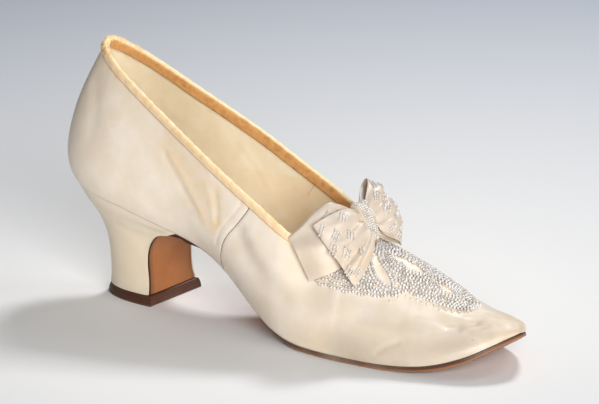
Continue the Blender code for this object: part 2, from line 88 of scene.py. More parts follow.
# Sections of the upper from the toe to the back of the heel, as in the solid: fx, lat, med,
# fz where the wall meets the sole, cy the middle line, tx, th, tz the top of the wall, then
# how the wall leaves the sole and arrives at its top.
SECTION_NAMES = ("fx", "lat", "med", "fz", "cy", "tx", "th", "tz",
                 "lo_out", "lo_up", "hi_out", "hi_down")
SECTIONS = (
    (244.2, 0.0, 0.0, 17.3, 3.0, 240.4, 0.0, 20.0, 0.7, 1.8, 2.0, 0.0),
    (242.7, 5.8, 5.4, 16.4, 3.0, 238.9, 0.0, 20.6, 1.1, 2.6, 4.0, 0.0),
    (239.4, 12.6, 11.6, 14.4, 3.0, 235.8, 0.0, 21.3, 1.5, 4.0, 7.0, 0.0),
    (234.6, 19.0, 17.4, 11.6, 2.9, 230.6, 0.0, 22.3, 2.0, 5.2, 10.0, 0.0),
    (228.3, 24.6, 22.6, 8.7, 2.7, 224.6, 0.0, 23.3, 2.4, 6.5, 12.5, 0.0),
    (219.8, 29.0, 26.7, 5.9, 2.4, 217.0, 0.0, 25.1, 2.8, 8.0, 14.0, 0.0),
    (211.5, 31.8, 29.3, 4.2, 2.0, 207.5, 0.0, 29.4, 3.0, 9.5, 15.0, 0.0),
    (201.5, 33.5, 31.4, 3.2, 1.3, 196.5, 0.0, 34.4, 3.2, 11.0, 16.0, 0.0),
    (191.5, 34.5, 32.9, 2.8, 0.7, 185.0, 0.0, 39.2, 3.2, 13.5, 17.5, 0.0),
    (181.0, 34.8, 33.5, 2.7, 0.3, 173.0, 0.0, 42.5, 3.2, 16.0, 20.0, 0.0),
    (171.0, 34.7, 33.4, 2.7, 0.0, 163.0, 0.0, 44.4, 3.2, 18.0, 21.0, 0.0),
    (161.5, 34.3, 32.7, 2.7, 0.0, 160.4, 9.2, 44.0, 3.2, 18.0, 15.5, 2.6),
    (152.0, 33.3, 31.9, 2.8, 0.0, 155.0, 17.2, 44.3, 3.4, 17.5, 10.5, 6.8),
    (142.5, 31.7, 30.4, 3.7, 0.0, 147.5, 23.2, 47.0, 3.8, 16.5, 6.4, 10.0),
    (132.5, 29.4, 28.3, 6.4, 0.0, 138.5, 26.6, 51.8, 4.5, 15.5, 3.8, 13.0),
    (121.5, 26.1, 25.2, 11.7, 0.0, 127.5, 26.8, 58.2, 5.5, 15.0, 2.4, 15.0),
    (110.0, 22.3, 21.6, 18.5, 0.0, 115.0, 26.0, 64.9, 7.0, 14.5, 1.8, 17.0),
    (98.5, 18.6, 18.3, 25.1, 0.0, 102.0, 25.0, 72.0, 8.5, 14.0, 1.8, 18.0),
    (88.0, 16.6, 16.5, 30.3, 0.0, 90.0, 23.8, 78.6, 10.0, 14.0, 2.0, 19.0),
    (79.0, 16.8, 16.8, 34.2, 0.0, 78.0, 21.9, 84.9, 10.5, 14.0, 2.5, 19.5),
    (68.0, 18.9, 18.9, 38.2, 0.0, 66.0, 19.7, 91.2, 9.5, 14.0, 3.5, 20.0),
    (55.0, 21.2, 21.2, 42.3, 0.0, 54.0, 17.4, 97.5, 8.0, 14.0, 5.0, 20.0),
    (40.0, 22.4, 22.4, 46.4, 0.0, 43.0, 15.2, 103.4, 7.0, 14.0, 6.5, 20.0),
    (25.0, 21.2, 21.2, 49.6, 0.0, 33.5, 12.6, 108.6, 7.0, 14.0, 8.0, 20.0),
    (13.0, 16.5, 16.5, 52.4, 0.0, 25.5, 8.8, 113.2, 8.0, 13.0, 9.5, 20.0),
    (6.0, 9.0, 9.0, 54.6, 0.0, 21.0, 4.6, 116.2, 9.5, 12.0, 11.0, 19.5),
    (3.8, 0.0, 0.0, 55.4, 0.0, 19.5, 0.0, 117.3, 11.0, 11.7, 11.5, 19.5),
)
HEEL_ROW = len(SECTIONS) - 1
ALL_ROWS = 2 * HEEL_ROW
THROAT_ROW = 10
FAN_ROW = 11
FAN_NEXT = 0.6

# Small steps along and up the wall that give its directions, samples of the sole's edge, the
# share just under the top, and the rows over which the throat turns.
FOOT_STEP = 0.02
ROW_STEP = 0.03
SHARE_STEP = 0.01
FOOT_SAMPLES = 600
NEAR_TOP = 0.985
THROAT_TURN = 0.5

# Direction that no thread runs along, and the level part of a direction.
SLANT = np.array([0.31, 0.23, 0.92])
LEVEL = np.array([1.0, 1.0, 0.0])

# Columns of the satin mesh, closer at the toe's creases and at the side seams: from, to, step.
# Then its levels, the steps of levels on hidden faces and on the lining, the weld at the ridge.
COLUMN_STEPS = ((0.0, 3.0, 0.125), (3.0, 8.0, 0.0625), (8.0, 15.25, 0.125), (15.25, 17.5, 0.03125),
                (17.5, 20.25, 0.0625), (20.25, 26.0, 0.125))
WALL_LEVELS = 73
BACK_STEP = 4
LINING_STEP = 2
SEAM_WELD = 0.01

# How strongly the clouded shade shows in each cloth.
CLOUDS = {"satin": 0.85, "lining": 0.8, "heel": 0.35, "sock": 0.6, "bow": 0.4}

# Sole leather where it turns down the heel breast: x, z, half width.
BREAST = (
    (72.5, 36.05, 16.6), (66.0, 36.4, 16.8), (60.5, 35.6, 17.0), (56.6, 33.2, 17.0),
    (54.0, 29.3, 16.9), (52.6, 25.0, 16.8), (52.2, 20.0, 16.6), (52.5, 15.0, 16.5),
    (52.9, 10.0, 16.6), (53.5, 4.8, 17.5),
)
BREAST_STEPS = 46

# Below its bend the breast leather is narrower: by how much, from which x, over what run.
BREAST_NARROW = (0.4, 66.0, 6.0)

# Share of the waist's bevel along the sole, from the heel forward: x, share.
SOLE_WAIST_SHARE = ((76.0, 0.0), (86.0, 1.0), (124.0, 1.0), (146.0, 0.0))

# Sole mesh: rows of the upper at its tip and behind, points across a face and round an edge, the
# least half width, and how far the edge stands out.
SOLE_TIP_ROWS = (0.02, 0.06, 0.12, 0.2, 0.3, 0.4)
SOLE_ROWS = (0.5, HEEL_ROW, 0.25)
SOLE_ACROSS = 11
SOLE_EDGE_POINTS = 9
SOLE_LEAST_HALF = 0.05
SOLE_SWELL = 0.18

# Rounding of the sole's lower face: height, the z above which it counts, and the worn corner.
SOLE_CROWN = 0.25
SOLE_CROWN_Z = 3.5
SOLE_CORNER = 0.15

# Stain of the sole's edge: x behind which it is full, loss downward, depth and run of the loss,
# and the strength and steepness of what creeps on to the faces. Ahead of that x the loss leaves the
# lower bevel lighter: painted light where light falls on it, and some wear at the front.
STAIN_X = 82.0
EDGE_LIGHT_AND_WEAR = (0.8, 0.45, 0.3)
STAIN_CREEP = (0.25, 14)

# Worn places along the sole: strength, x, half length. Then the pores of the leathers.
SOLE_WEAR = ((0.55, 172.0, 30.0), (0.3, 238.0, 6.0))
SOLE_PORES = 1100.0
LIFT_PORES = 1400.0

# Levels of the heel: z_back, x_back, z_front, x_front, half width, share of the seat's plan.
HEEL = (
    (4.8, 23.8, 4.8, 53.2, 18.2, 0.0),
    (8.0, 23.8, 8.2, 52.7, 17.3, 0.0),
    (12.6, 23.9, 12.5, 52.3, 17.0, 0.05),
    (19.3, 23.7, 18.5, 51.85, 17.3, 0.1),
    (26.0, 22.9, 24.5, 52.15, 17.7, 0.2),
    (32.0, 21.2, 29.3, 53.6, 18.4, 0.35),
    (37.7, 17.9, 32.6, 55.75, 19.2, 0.5),
    (42.7, 13.9, 34.8, 58.3, 20.2, 0.65),
    (46.6, 10.4, 36.1, 61.6, 21.0, 0.8),
    (50.8, 7.3, 36.75, 66.0, 21.8, 0.92),
)

# Lip of the heel's cover: length, thickness. Then its lap over the seat, and the seat's front and
# back along x, half width and roundness.
LIP = 1.5
LIP_THICK = 0.55
SEAM_LAP = 0.12
HEEL_FRONT_X = 71.0
HEEL_BACK_X = 3.8
HEEL_HALF = 22.4
HEEL_ROUND = 2.4

# Heel mesh: rows and samples searched for its front corners, points round a level, levels, and
# points across the front.
SEAT_ROWS = 10
SEAT_SAMPLES = 400
HEEL_COLUMNS = 121
HEEL_LEVELS = 81
FRONT_STEPS = 12

# The lip of the heel's cover runs out over this share of the height, down to a least length.
LIP_FADE = 0.12
LIP_LEAST = 0.05

# Slow waves of the heel's cover: height, rate upward, rate round it.
HEEL_WAVES = ((0.1, 9.0, 14.0), (0.06, 23.0, -31.0))

# Bands up the heel: strength, height share, width. The band high on the heel is painted shade under the seam,
# where the cover faces down and out. The soil at its foot has a strength and a reach.
HEEL_TUCK = (-0.12, 0.0, 0.02)
HEEL_PAINTED_SHADE = (0.09, 0.72, 0.22)
HEEL_YELLOW = (0.3, 0.35, 0.25)
HEEL_FOOT_SOIL = (0.22, 0.05)

# Levels of the top lift: z, x_back, x_front, half width.
LIFT = ((0.0, 22.6, 57.0, 19.5), (2.2, 22.8, 56.8, 19.2), (4.5, 23.8, 56.3, 18.3))
LIFT_LEVELS = 31

# Scores between the lift's layers: height shares, width, depth. Its rounded rims: reach, depth.
LIFT_SCORES = (0.36, 0.7)
SCORE_WIDE = 0.035
SCORE_DEEP = 0.13
RIM_REACH = 0.04
RIM_DEEP = 0.25

# Stain of the lift's layers and scores. Its front, from an x and within a half width, has none.
LIFT_STAIN = 0.3
SCORE_STAIN = 0.75
LIFT_FRONT_X = 55.0
LIFT_FRONT_HALF = 18.0

# Wear at the foot of the lift: strength, reach.
LIFT_WEAR = (0.5, 0.06)

# Half width of the beadwork along the vamp: x, half width.
MOTIF = (
    (140.0, 28.0), (160.0, 28.4), (170.0, 27.6), (180.0, 25.4), (188.0, 22.6), (192.5, 19.0),
    (195.0, 15.2), (201.0, 14.4), (208.0, 12.2), (214.0, 9.2), (218.0, 6.0), (220.5, 3.0),
)
MOTIF_BACK = 155.5
MOTIF_TIP = 220.5

# Scallops of the motif's edge: inset, depth, spacing along x.
SCALLOP = (0.9, 0.8, 6.5)

# Plain petal on each side of the motif: x, distance from the middle line. Then its half width,
# the fullness of its ends and points along it.
PETAL = ((172.5, 6.0), (177.0, 10.5), (182.5, 14.2), (188.5, 16.6))
PETAL_WIDE = 2.0
PETAL_FULL = 0.7
PETAL_POINTS = 40
PETAL_ROUNDS = (0.8, 2.3)

# Plain almonds on the middle line: x, half length, half width, rows of beads round them. Then the
# sharpness of their ends, points round them, distance of the first row and between the rows.
ALMONDS = ((186.0, 8.0, 2.8, 4), (205.5, 4.5, 1.6, 3))
ALMOND_SHARP = 0.25
ALMOND_POINTS = 80
ALMOND_FIRST = 0.75
ALMOND_STEP = 1.5

# Rows of beads along the motif's edge: insets. Then the shares of the half width that the rows
# within it keep, points along a row, and where a row starts behind the tip.
EDGE_ROWS = (0.7, 2.2)
ROW_SHARES = (0.97, 0.0, -0.054)
ROW_POINTS = 160
ROW_START = 0.6

# One bead, as shares of its half length and of its width. Then its length, sides and tones, and
# the step either way that gives a string's direction.
BEAD_PROFILE = ((-0.7, 0.22), (-1.0, 0.36), (-0.62, 0.5), (0.62, 0.5), (1.0, 0.36), (0.7, 0.22))
BEAD_LONG = 0.72
BEAD_SIDES = 8
BEAD_TONES = (1.0, 1.0, 0.9, 0.8, 0.6, 0.35, 0.1)
STRING_STEP = 0.2

# Sewing on the vamp: seed, rows of the throat, room beside the motif and in front of the throat,
# height to look down from, cell of the search, step along a row and to where a bead points.
VAMP_SEED = 5
THROAT_ROWS = (THROAT_ROW, THROAT_ROW + 5, 0.1)
VAMP_ASIDE = 3.0
VAMP_THROAT = 4.3
VAMP_ABOVE = 200.0
VAMP_CELL = 2.0
VAMP_STEP = 0.5
VAMP_AHEAD = 0.3

# Least distance of beads in rows and of those that fill gaps, as shares of a bead. Then the step,
# margin and slant of the filling.
ROW_APART = 0.98
FILL_APART = 0.94
FILL_STEP = 0.6
FILL_MARGIN = 0.7
FILL_SLANT = 0.3

# Small beads outside the edge near the tip: x range and step, distance, slant, bead, least distance.
FRINGE = (191.0, MOTIF_TIP, 2.4)
FRINGE_OUT = 1.6
FRINGE_SLANT = -0.5
FRINGE_BEAD = 0.9
FRINGE_APART = 1.2

# Bars of beads on the bow: seed, bead, beads in a bar, distance of bars and of beads, slip from bar
# to bar, height over the ribbon, squared distance from it that still counts as on it.
BOW_SEED = 9
BAR_BEAD = 0.85
BAR_BEADS = 6
BAR_APART = 1.35
BAR_PITCH = 0.92
BAR_SLIP = 0.35
BAR_OVER = 0.12
BAR_OFF = 1.2

# Bars on each layer of the bow: level share, column share, lean, bars in the cluster.
LATERAL_BARS = (
    (0.4, 0.16, 0.9, 3), (0.42, 0.46, 0.9, 3), (0.42, 0.78, 0.9, 2), (0.64, 0.3, 0.9, 3),
    (0.66, 0.6, 0.9, 3), (0.66, 0.9, 1.5, 2), (0.88, 0.14, 0.9, 2), (0.88, 0.44, 0.9, 3),
    (0.9, 0.8, 1.4, 3),
)
UNDER_BARS = ((0.3, 0.34, 1.3, 2), (0.48, 0.32, 1.3, 2), (0.16, 0.34, 1.3, 2))
MEDIAL_BARS = (
    (0.22, 0.22, -0.9, 3), (0.22, 0.5, -0.9, 3), (0.22, 0.82, -0.9, 2), (0.4, 0.1, -0.9, 2),
    (0.4, 0.36, -0.9, 3), (0.4, 0.66, -0.9, 2), (0.4, 0.9, -0.9, 2), (0.6, 0.22, -0.9, 3),
    (0.6, 0.5, -0.9, 3), (0.6, 0.8, -0.9, 2),
)

# Solids of the bow's loops.
LATERAL = "bow_loop_lateral"
MEDIAL = "bow_loop_medial"

# Ribbon layers of the bow: piece, solid, half turns round its fold or none, levels, levels that may
# carry beads, bars, and where its beaded face looks. Then points across a layer, and where
# on it its face is tried.
BOW_LAYERS = (
    ("bow_front_lateral", LATERAL, 0.60, 61, 51, LATERAL_BARS, (1.0, 0.0, 0.0)),
    ("bow_under_lateral", LATERAL, 0.0, 61, 61, UNDER_BARS, (0.0, -1.0, 0.0)),
    ("bow_loop", MEDIAL, 1.0, 91, 61, MEDIAL_BARS, (1.0, 0.0, 0.0)),
)
BOW_ACROSS = 61
BOW_FACING = (20, 30)

# Bow: middle of the knot, slope of its face, and its loops as in the solids.
KNOT = np.array([166.5, 0.0, 56.2])
BOW_SLOPE = math.radians(46.8)
KNOT_HALF = 4.0
LOOP_BACK = 3.0
LOOP_NAMES = ("side", "reach", "root", "end", "droop", "slide", "pinch",
              "puff_top", "puff_low", "shear", "crown", "tuck")
LOOPS = {
    LATERAL: (-1.0, 20.0, 6.2, 16.6, 8.6, 6.4, 1.5, 6.5, 0.4, 3.0, 0.0, 0.0),
    MEDIAL: (1.0, 17.0, 6.2, 17.2, 7.0, -3.6, 1.5, 5.0, 1.2, 1.5, 5.5, 5.0),
}
# Folds along the front of each loop: height, place across, width.
BOW_FOLDS = {
    LATERAL: ((-2.2, 0.44, 0.08), (1.1, 0.27, 0.12), (-0.6, -0.4, 0.16), (0.4, -0.1, 0.15)),
    MEDIAL: ((1.0, 0.44, 0.08), (-2.6, 0.78, 0.22), (-0.6, -0.3, 0.14), (0.5, 0.05, 0.14)),
}
# Dents in the front of each loop: height, place across, width, place along, length.
BOW_DENTS = {
    LATERAL: ((1.5, 0.56, 0.13, 0.72, 0.3), (-1.5, 0.8, 0.12, 0.62, 0.28),
              (1.1, -0.62, 0.16, 0.66, 0.24), (-1.0, -0.22, 0.1, 0.52, 0.22),
              (0.9, 0.1, 0.09, 0.86, 0.26), (-0.7, 0.36, 0.08, 1.05, 0.3)),
    MEDIAL: ((1.2, 0.2, 0.12, 0.8, 0.35), (-1.0, -0.25, 0.1, 0.7, 0.3),
             (0.9, -0.6, 0.14, 0.95, 0.3)),
}
LOOP_HEM = {LATERAL: 0.0, MEDIAL: 0.8}

# A loop's start inside the knot, reach past its fold, and powers of its widening, turn and fall.
LOOP_START = 0.6
LOOP_PAST = 1.1
LOOP_WIDEN = 0.6
LOOP_TURN = 1.25
LOOP_FALL = 1.6

# Pleats at the knot: height, rate, start, power. Waves of a loop: height, rates across and along,
# and for the small ones the rates of a second wave along and across.
LOOP_PLEAT = (1.5, 3.4 * math.pi, 0.6, 0.4)
LOOP_WAVE = (0.3, 5.0, 4.0)
LOOP_CRINKLE = (0.12, 21.0, 9.0, 5.0, 3.0)

# Side view of the wrap over the knot, as in the solid: x, z.
KNOT_PROFILE = (
    (156.8, 60.8), (158.2, 63.2), (160.6, 63.2), (163.8, 59.8), (166.4, 55.2),
    (167.4, 50.5), (167.2, 46.6), (160.8, 46.8), (158.0, 53.6),
)

# Wrap mesh: points round it, rings across it. Shares that it is drawn in by: at its ends with
# their steepness, in its middle, and in ribs with their rate.
WRAP_POINTS = 72
WRAP_RINGS = 25
WRAP_ENDS = (0.1, 6)
WRAP_MIDDLE = 0.03
WRAP_RIBS = (0.012, 9.0)

# Strings of beads on the wrap: its front as profile rows, rings that carry one, bead, pitch.
WRAP_FRONT = (1.4, 6.0)
WRAP_STRINGS = (3, 8, 12, 16, 21)
STRING_BEAD = 0.95
STRING_PITCH = 1.02

# Plain ribbon layer behind the lateral loop, from the knot outward: a point on its upper edge and
# one on its lower edge.
UNDER_LAYER = (
    ((157.4, -3.6, 60.4), (165.0, -3.6, 48.0)),
    ((154.8, -10.0, 63.6), (166.0, -11.0, 44.4)),
    ((153.0, -15.0, 64.6), (166.2, -18.0, 41.2)),
    ((149.7, -21.0, 60.4), (164.2, -24.0, 38.2)),
    ((146.8, -25.5, 55.0), (160.2, -28.0, 36.0)),
    ((141.8, -28.2, 49.8), (153.7, -29.6, 32.8)),
)
UNDER_ACROSS = 41

# Its swell: height, and height and rates across and outward of a wave on it. Its pleats: height,
# rate. Its waves: height, rates across and outward. Then the way that it faces.
UNDER_SWELL = (1.6, 0.5, 7.0, 5.0)
UNDER_PLEAT = (0.5, 13.0)
UNDER_WAVE = (0.75, 9.0, 6.0)
UNDER_FRONT = np.array([0.57, -0.7, 0.42])

# Roll of its upper edge: radius, then first and last turn and the points between them.
ROLL_RADIUS = 1.3
ROLL_TURNS = (2.6, 0.3, 9)

# Yellower band low on the bow: strength, z, width.
BOW_YELLOW = (0.25, 40.0, 9.0)

# Creases of the satin, placed by row and height share on the wall: depth, width, points.
CREASES = (
    (-0.68, 2.8, ((6.6, 0.57), (6.0, 0.6), (5.3, 0.61), (4.7, 0.63))),
    (0.45, 3.0, ((6.4, 0.67), (5.6, 0.69), (4.6, 0.73))),
    (-0.6, 2.4, ((5.1, 0.58), (4.5, 0.65), (3.9, 0.72))),
    (-0.26, 1.7, ((5.7, 0.44), (5.1, 0.49), (4.5, 0.55))),
    (-0.24, 1.6, ((4.0, 0.54), (3.5, 0.61), (3.0, 0.69))),
    (-0.36, 1.6, ((7.9, 0.12), (7.5, 0.2), (7.0, 0.27))),
    (-0.4, 3.2, ((9.6, 0.33), (8.4, 0.38), (7.2, 0.42))),
    (-0.75, 5.0, ((16.0, 0.62), (15.3, 0.5), (14.4, 0.42), (13.4, 0.4))),
    (0.55, 4.5, ((15.5, 0.72), (14.6, 0.62), (13.4, 0.58))),
    (0.2, 1.8, ((19.6, 0.77), (18.9, 0.69), (18.1, 0.57), (17.6, 0.47))),
    (-0.24, 2.0, ((19.9, 0.74), (19.2, 0.63), (18.4, 0.5))),
    (-0.2, 1.6, ((17.2, 0.8), (17.05, 0.7), (17.0, 0.56))),
    (0.16, 1.9, ((17.6, 0.78), (17.3, 0.66), (17.2, 0.54))),
    (-0.4, 4.0, ((24.0, 0.8), (23.4, 0.66), (23.2, 0.5))),
    (-0.35, 5.0, ((21.6, 0.34), (20.6, 0.3), (19.6, 0.26))),
    (-0.34, 1.8, ((-6.4, 0.6), (-5.6, 0.62), (-4.7, 0.66))),
    (-0.7, 5.0, ((-16.1, 0.6), (-15.2, 0.48), (-14.2, 0.42))),
    (0.3, 1.6, ((-19.4, 0.74), (-18.6, 0.64), (-17.9, 0.52))),
    (-0.3, 1.6, ((-18.9, 0.76), (-18.2, 0.66), (-17.5, 0.54))),
    (-0.35, 4.0, ((-23.8, 0.78), (-23.3, 0.62), (-23.0, 0.48))),
)

# Marks on the satin: strength, radius, then the (row, share) points of the mark's line. The yellowing and
# soil marks also hold some painted shade, as noted.
YELLOWED_AND_SHADED = (
    (0.75, 3.6, ((19.8, 0.8), (18.9, 0.7), (18.1, 0.58), (17.6, 0.46))),
    (0.95, 3.2, ((17.1, 0.84), (17.0, 0.7), (17.0, 0.55), (17.3, 0.44))),
    (0.72, 8.0, ((19.8, 0.86), (18.4, 0.8), (17.4, 0.74))),
    # The back of the heel, painted warmer and darker.
    (0.5, 15.0, ((26.0, 0.95), (26.0, 0.15))),
    (0.85, 9.0, ((0.0, 0.2), (0.0, 0.8))),
    (0.6, 12.0, ((2.0, 0.7), (-2.0, 0.7))),
    # Yellowing with painted shade low on the vamp's lateral side.
    (0.3, 9.0, ((11.0, 0.1), (7.5, 0.12), (4.0, 0.15))),
    (0.4, 8.0, ((-19.0, 0.76), (-17.4, 0.64))),
    (0.25, 6.0, ((12.4, 0.8), (13.2, 0.7))),
)
SOILED_AND_SHADED = (
    (1.0, 0.5, ((3.5, 0.38), (3.52, 0.38))),
    (0.1, 6.0, ((23.6, 0.88), (23.2, 0.72))),
    (0.08, 9.0, ((22.9, 0.7), (22.4, 0.5))),
    # Painted shade with some soil over the toe's top and sides, which face the light from behind.
    (0.22, 13.0, ((4.0, 0.9), (0.5, 0.8))),
    (0.28, 11.0, ((3.0, 0.62), (0.8, 0.55))),
    (0.22, 10.0, ((-3.0, 0.62), (-0.8, 0.55))),
    (0.08, 7.0, ((15.6, 0.55), (14.6, 0.46))),
    (0.09, 9.0, ((11.0, 0.08), (7.5, 0.1), (4.0, 0.12))),
    (0.2, 3.0, ((9.0, 0.02), (6.5, 0.02))),
    (0.22, 4.0, ((-8.0, 0.02), (-6.0, 0.02))),
)
# Painted shade on the lower and middle sides of the vamp and on the toe: strength, radius, then the (row,
# share) points of the mark's line.
PAINTED_SHADE = (
    (0.58, 11.0, ((9.4, 0.08), (7.5, 0.11), (5.5, 0.15), (4.0, 0.2))),
    (0.34, 9.0, ((8.4, 0.4), (7.0, 0.44), (5.0, 0.48), (4.0, 0.52))),
    (0.32, 9.0, ((5.2, 0.62), (3.4, 0.66))),
    (0.2, 8.0, ((11.0, 0.44), (9.6, 0.42), (8.4, 0.42))),
    (0.06, 10.0, ((13.0, 0.1), (11.0, 0.1), (9.4, 0.1))),
    (0.32, 10.0, ((3.0, 0.5), (0.8, 0.55))),
    (0.2, 9.0, ((15.6, 0.12), (14.0, 0.2))),
    (0.45, 11.0, ((-9.4, 0.08), (-7.5, 0.11), (-5.5, 0.15), (-4.0, 0.2))),
    (0.25, 10.0, ((-9.5, 0.4), (-7.0, 0.44), (-4.5, 0.5))),
)

# Yellowing under the binding: strength, distance, width. The ridge counts as far from it.
EDGE_YELLOW = (0.55, 0.0, 5.0)
FAR_FROM_EDGE = 60.0

# Worn place of the lining, also painted shade low inside under the near wall: strength, x, half length. Then
# the height that it stays under.
LINING_WEAR_AND_SHADE = (0.6, 120.0, 40.0)
LINING_WEAR_AND_SHADE_Z = 60.0

# Slow unevenness of the satin: height, wave lengths along x, z and y, start.
SATIN_WAVE = (0.1, 8.3, 6.1, 9.0, 0.5)

# Puckers under the binding, as waves along the rows: height, rate, start. Then depth, reach.
PUCKERS = ((1.0, 9.0, 0.0), (0.6, 14.3, 1.0))
PUCKER_DEEP = 0.09
PUCKER_REACH = 4.5

# Creases fade out over this height share at the sole.
CREASE_FADE = 0.03

# Side seams where the vamp meets the quarters: row and share from the topline down.
SIDE_SEAM = ((15.72, 0.955), (15.78, 0.9), (16.1, 0.72), (16.45, 0.53), (16.72, 0.33), (17.0, 0.02))

# Grooves that run with a side seam: rows behind it, first and last point, depth, width.
SEAM_GROOVES = ((0.0, 0, 6, 0.3, 0.6), (0.32, 1, 5, 0.2, 1.0))
GROOVE_POINTS = 30

# Seam lines: piece, depth in the wall, share of the creases followed, radius, colour, points kept.
SEAM_POINTS = 90
SEAM_TAPER = 0.45
SEAM_LINES = (
    ("side_seams", -0.08, 1.0, 0.27, "thread", SEAM_POINTS),
    ("lining_seams", WALL + 0.02, LINING_FOLLOW, 0.15, "lining_thread", 34),
)

# Binding: columns in a row of the upper, points across it, pitch of its threads, and the
# waves along it of its ragged hems and of its thickness: height, rate, start.
BINDING_COLUMNS = 16
BINDING_ACROSS = 22
RIB_PITCH = 0.5
RAGGED = ((0.5, 1.9, 0.0), (0.3, 4.3, 1.0), (0.2, 9.7, 0.0))
RAGGED_OUT = 0.16
RAGGED_IN = -0.25
BULGE = ((0.1, 0.9, 0.0), (0.07, 2.3, 0.0))
HEM_SOFTEN = 4

# Fold of the ribbon over the edge: press of its outer hem, drop of its outer edge, share of the
# turn outside, rise of its crown outside and inside, drop of its inner edge, and how far its inner
# face and hem hang off the wall.
BINDING_FOLD = (0.12, 0.1, 0.15, 0.1, 0.05, 0.3, 0.15, 0.3)

# Part of the wall searched for the binding's hems: step of rows, lowest share, levels.
HEM_ROW_STEP = 0.1
HEM_SHARE = 0.8
HEM_LEVELS = 31

# Threads frayed from the binding, all but every fourth near the back of the collar.
FRAY_SEED = 11
FRAY_AWAY = 4
FRAY_SPREAD = 22.0
FRAY_LEVELS = (0, 0, 7, 8, 9, 10, 11, BINDING_ACROSS - 1)
FRAY_LONG = (0.7, 2.0)
FRAY_GROWTH = (0.8, 1.25)
FRAY_LEAN = 1.2
FRAY_FALL = 0.6
FRAY_ROOT = 0.15
FRAY_RISE = 0.55
FRAY_THICK = (0.09, 0.17)
FRAY_TIP = 0.05
FRAY_POINTS = 5

# Strands wound over the binding at the back: one for so many frayed threads.
STRAND_SHARE = 5
STRAND_SPREAD = 17.0
STRAND_SHIFT = 11.0
STRAND_START = 6.0
STRAND_REACH = (5.0, 9.0)
STRAND_RISE = (0.3, 0.25)
STRAND_THICK = (0.14, 0.26)
STRAND_POINTS = 9
FRAY_TONE = 0.38

# Sock mesh: rows of the upper that it spans, its last row, and points across it.
SOCK_ROWS = (0.5, HEEL_ROW - 0.6, 0.2)
SOCK_LAST_ROW = HEEL_ROW - 0.5
SOCK_ACROSS = 33

# Section of the sock: shares of its thickness at the rim and added inward, steepness of its
# rounded rim, depth of its hollow.
SOCK_RIM = 0.45
SOCK_PLUMP = 0.55
SOCK_STEEP = 12
SOCK_HOLLOW = 0.18

# Round brown marks on the sock over the heel seat: x, y, radius. Then half their soft edge.
SOCK_MARKS = ((26.0, 1.0, 2.9), (43.0, -10.0, 3.0), (43.5, 9.5, 3.0))
MARK_EDGE = 0.5

# Yellowed ball and soiled seat of the sock: strength, x, half length.
SOCK_YELLOW = (0.35, 172.0, 22.0)
SOCK_SOIL = (0.3, 38.0, 18.0)

# Stage in metres: floor's radius and points, distances between which its tone changes, the
# camera's sensor in millimetres and clipping.
FLOOR_RADIUS = 8.0
FLOOR_POINTS = 96
FLOOR_FADE = (0.13, 0.62)
SENSOR_WIDTH = 36.0
CLIP = (0.05, 30.0)

# Lights in metres from the slipper: to the camera's right, towards the camera, up, and their size.
LIGHTS = {
    "key": (0.95, -0.3, 1.1, 0.45),
    "front": (0.45, 1.9, 0.6, 1.1),
    "back": (0.45, -0.95, 1.2, 0.3),
}


def curve_piece(values, slopes, first, second, part):
    """Values between two rows of a curve with given slopes."""
    square = part * part
    cube = square * part
    start = (2 * cube - 3 * square + 1) * values[first] + (cube - 2 * square + part) * slopes[first]
    return start + (3 * square - 2 * cube) * values[second] + (cube - square) * slopes[second]


def smooth_line(points, count):
    """Even samples of a smooth open curve, or of a stack of rings, through a few rows."""
    points = np.asarray(points, float)
    rows = np.linspace(0.0, len(points) - 1.0, count)
    base = np.minimum(rows.astype(int), len(points) - 2)
    part = (rows - base).reshape((-1,) + (1,) * (points.ndim - 1))
    return curve_piece(points, np.gradient(points, axis=0), base, base + 1, part)


def closed_slopes(values, kind):
    """Slopes at the rows of a closed curve."""
    before = np.roll(values, 1)
    after = np.roll(values, -1)
    if kind == "smooth":
        count = len(values)
        matrix = 4.0 * np.eye(count)
        matrix += np.roll(np.eye(count), 1, axis=1) + np.roll(np.eye(count), -1, axis=1)
        return np.linalg.solve(matrix, 3.0 * (after - before))
    both = (values - before) * (after - values)
    total = np.where(np.abs(after - before) < 1e-9, 1.0, after - before)
    return np.where(both > 0.0, 2.0 * both / total, 0.0)


def closed_value(values, slopes, rows):
    """Value of the closed curve at fractional row numbers."""
    base = np.floor(rows).astype(int)
    return curve_piece(values, slopes, base % len(values), (base + 1) % len(values), rows - base)


def unit(vectors):
    """Vectors scaled to length one."""
    return vectors / np.maximum(np.linalg.norm(vectors, axis=-1, keepdims=True), 1e-12)


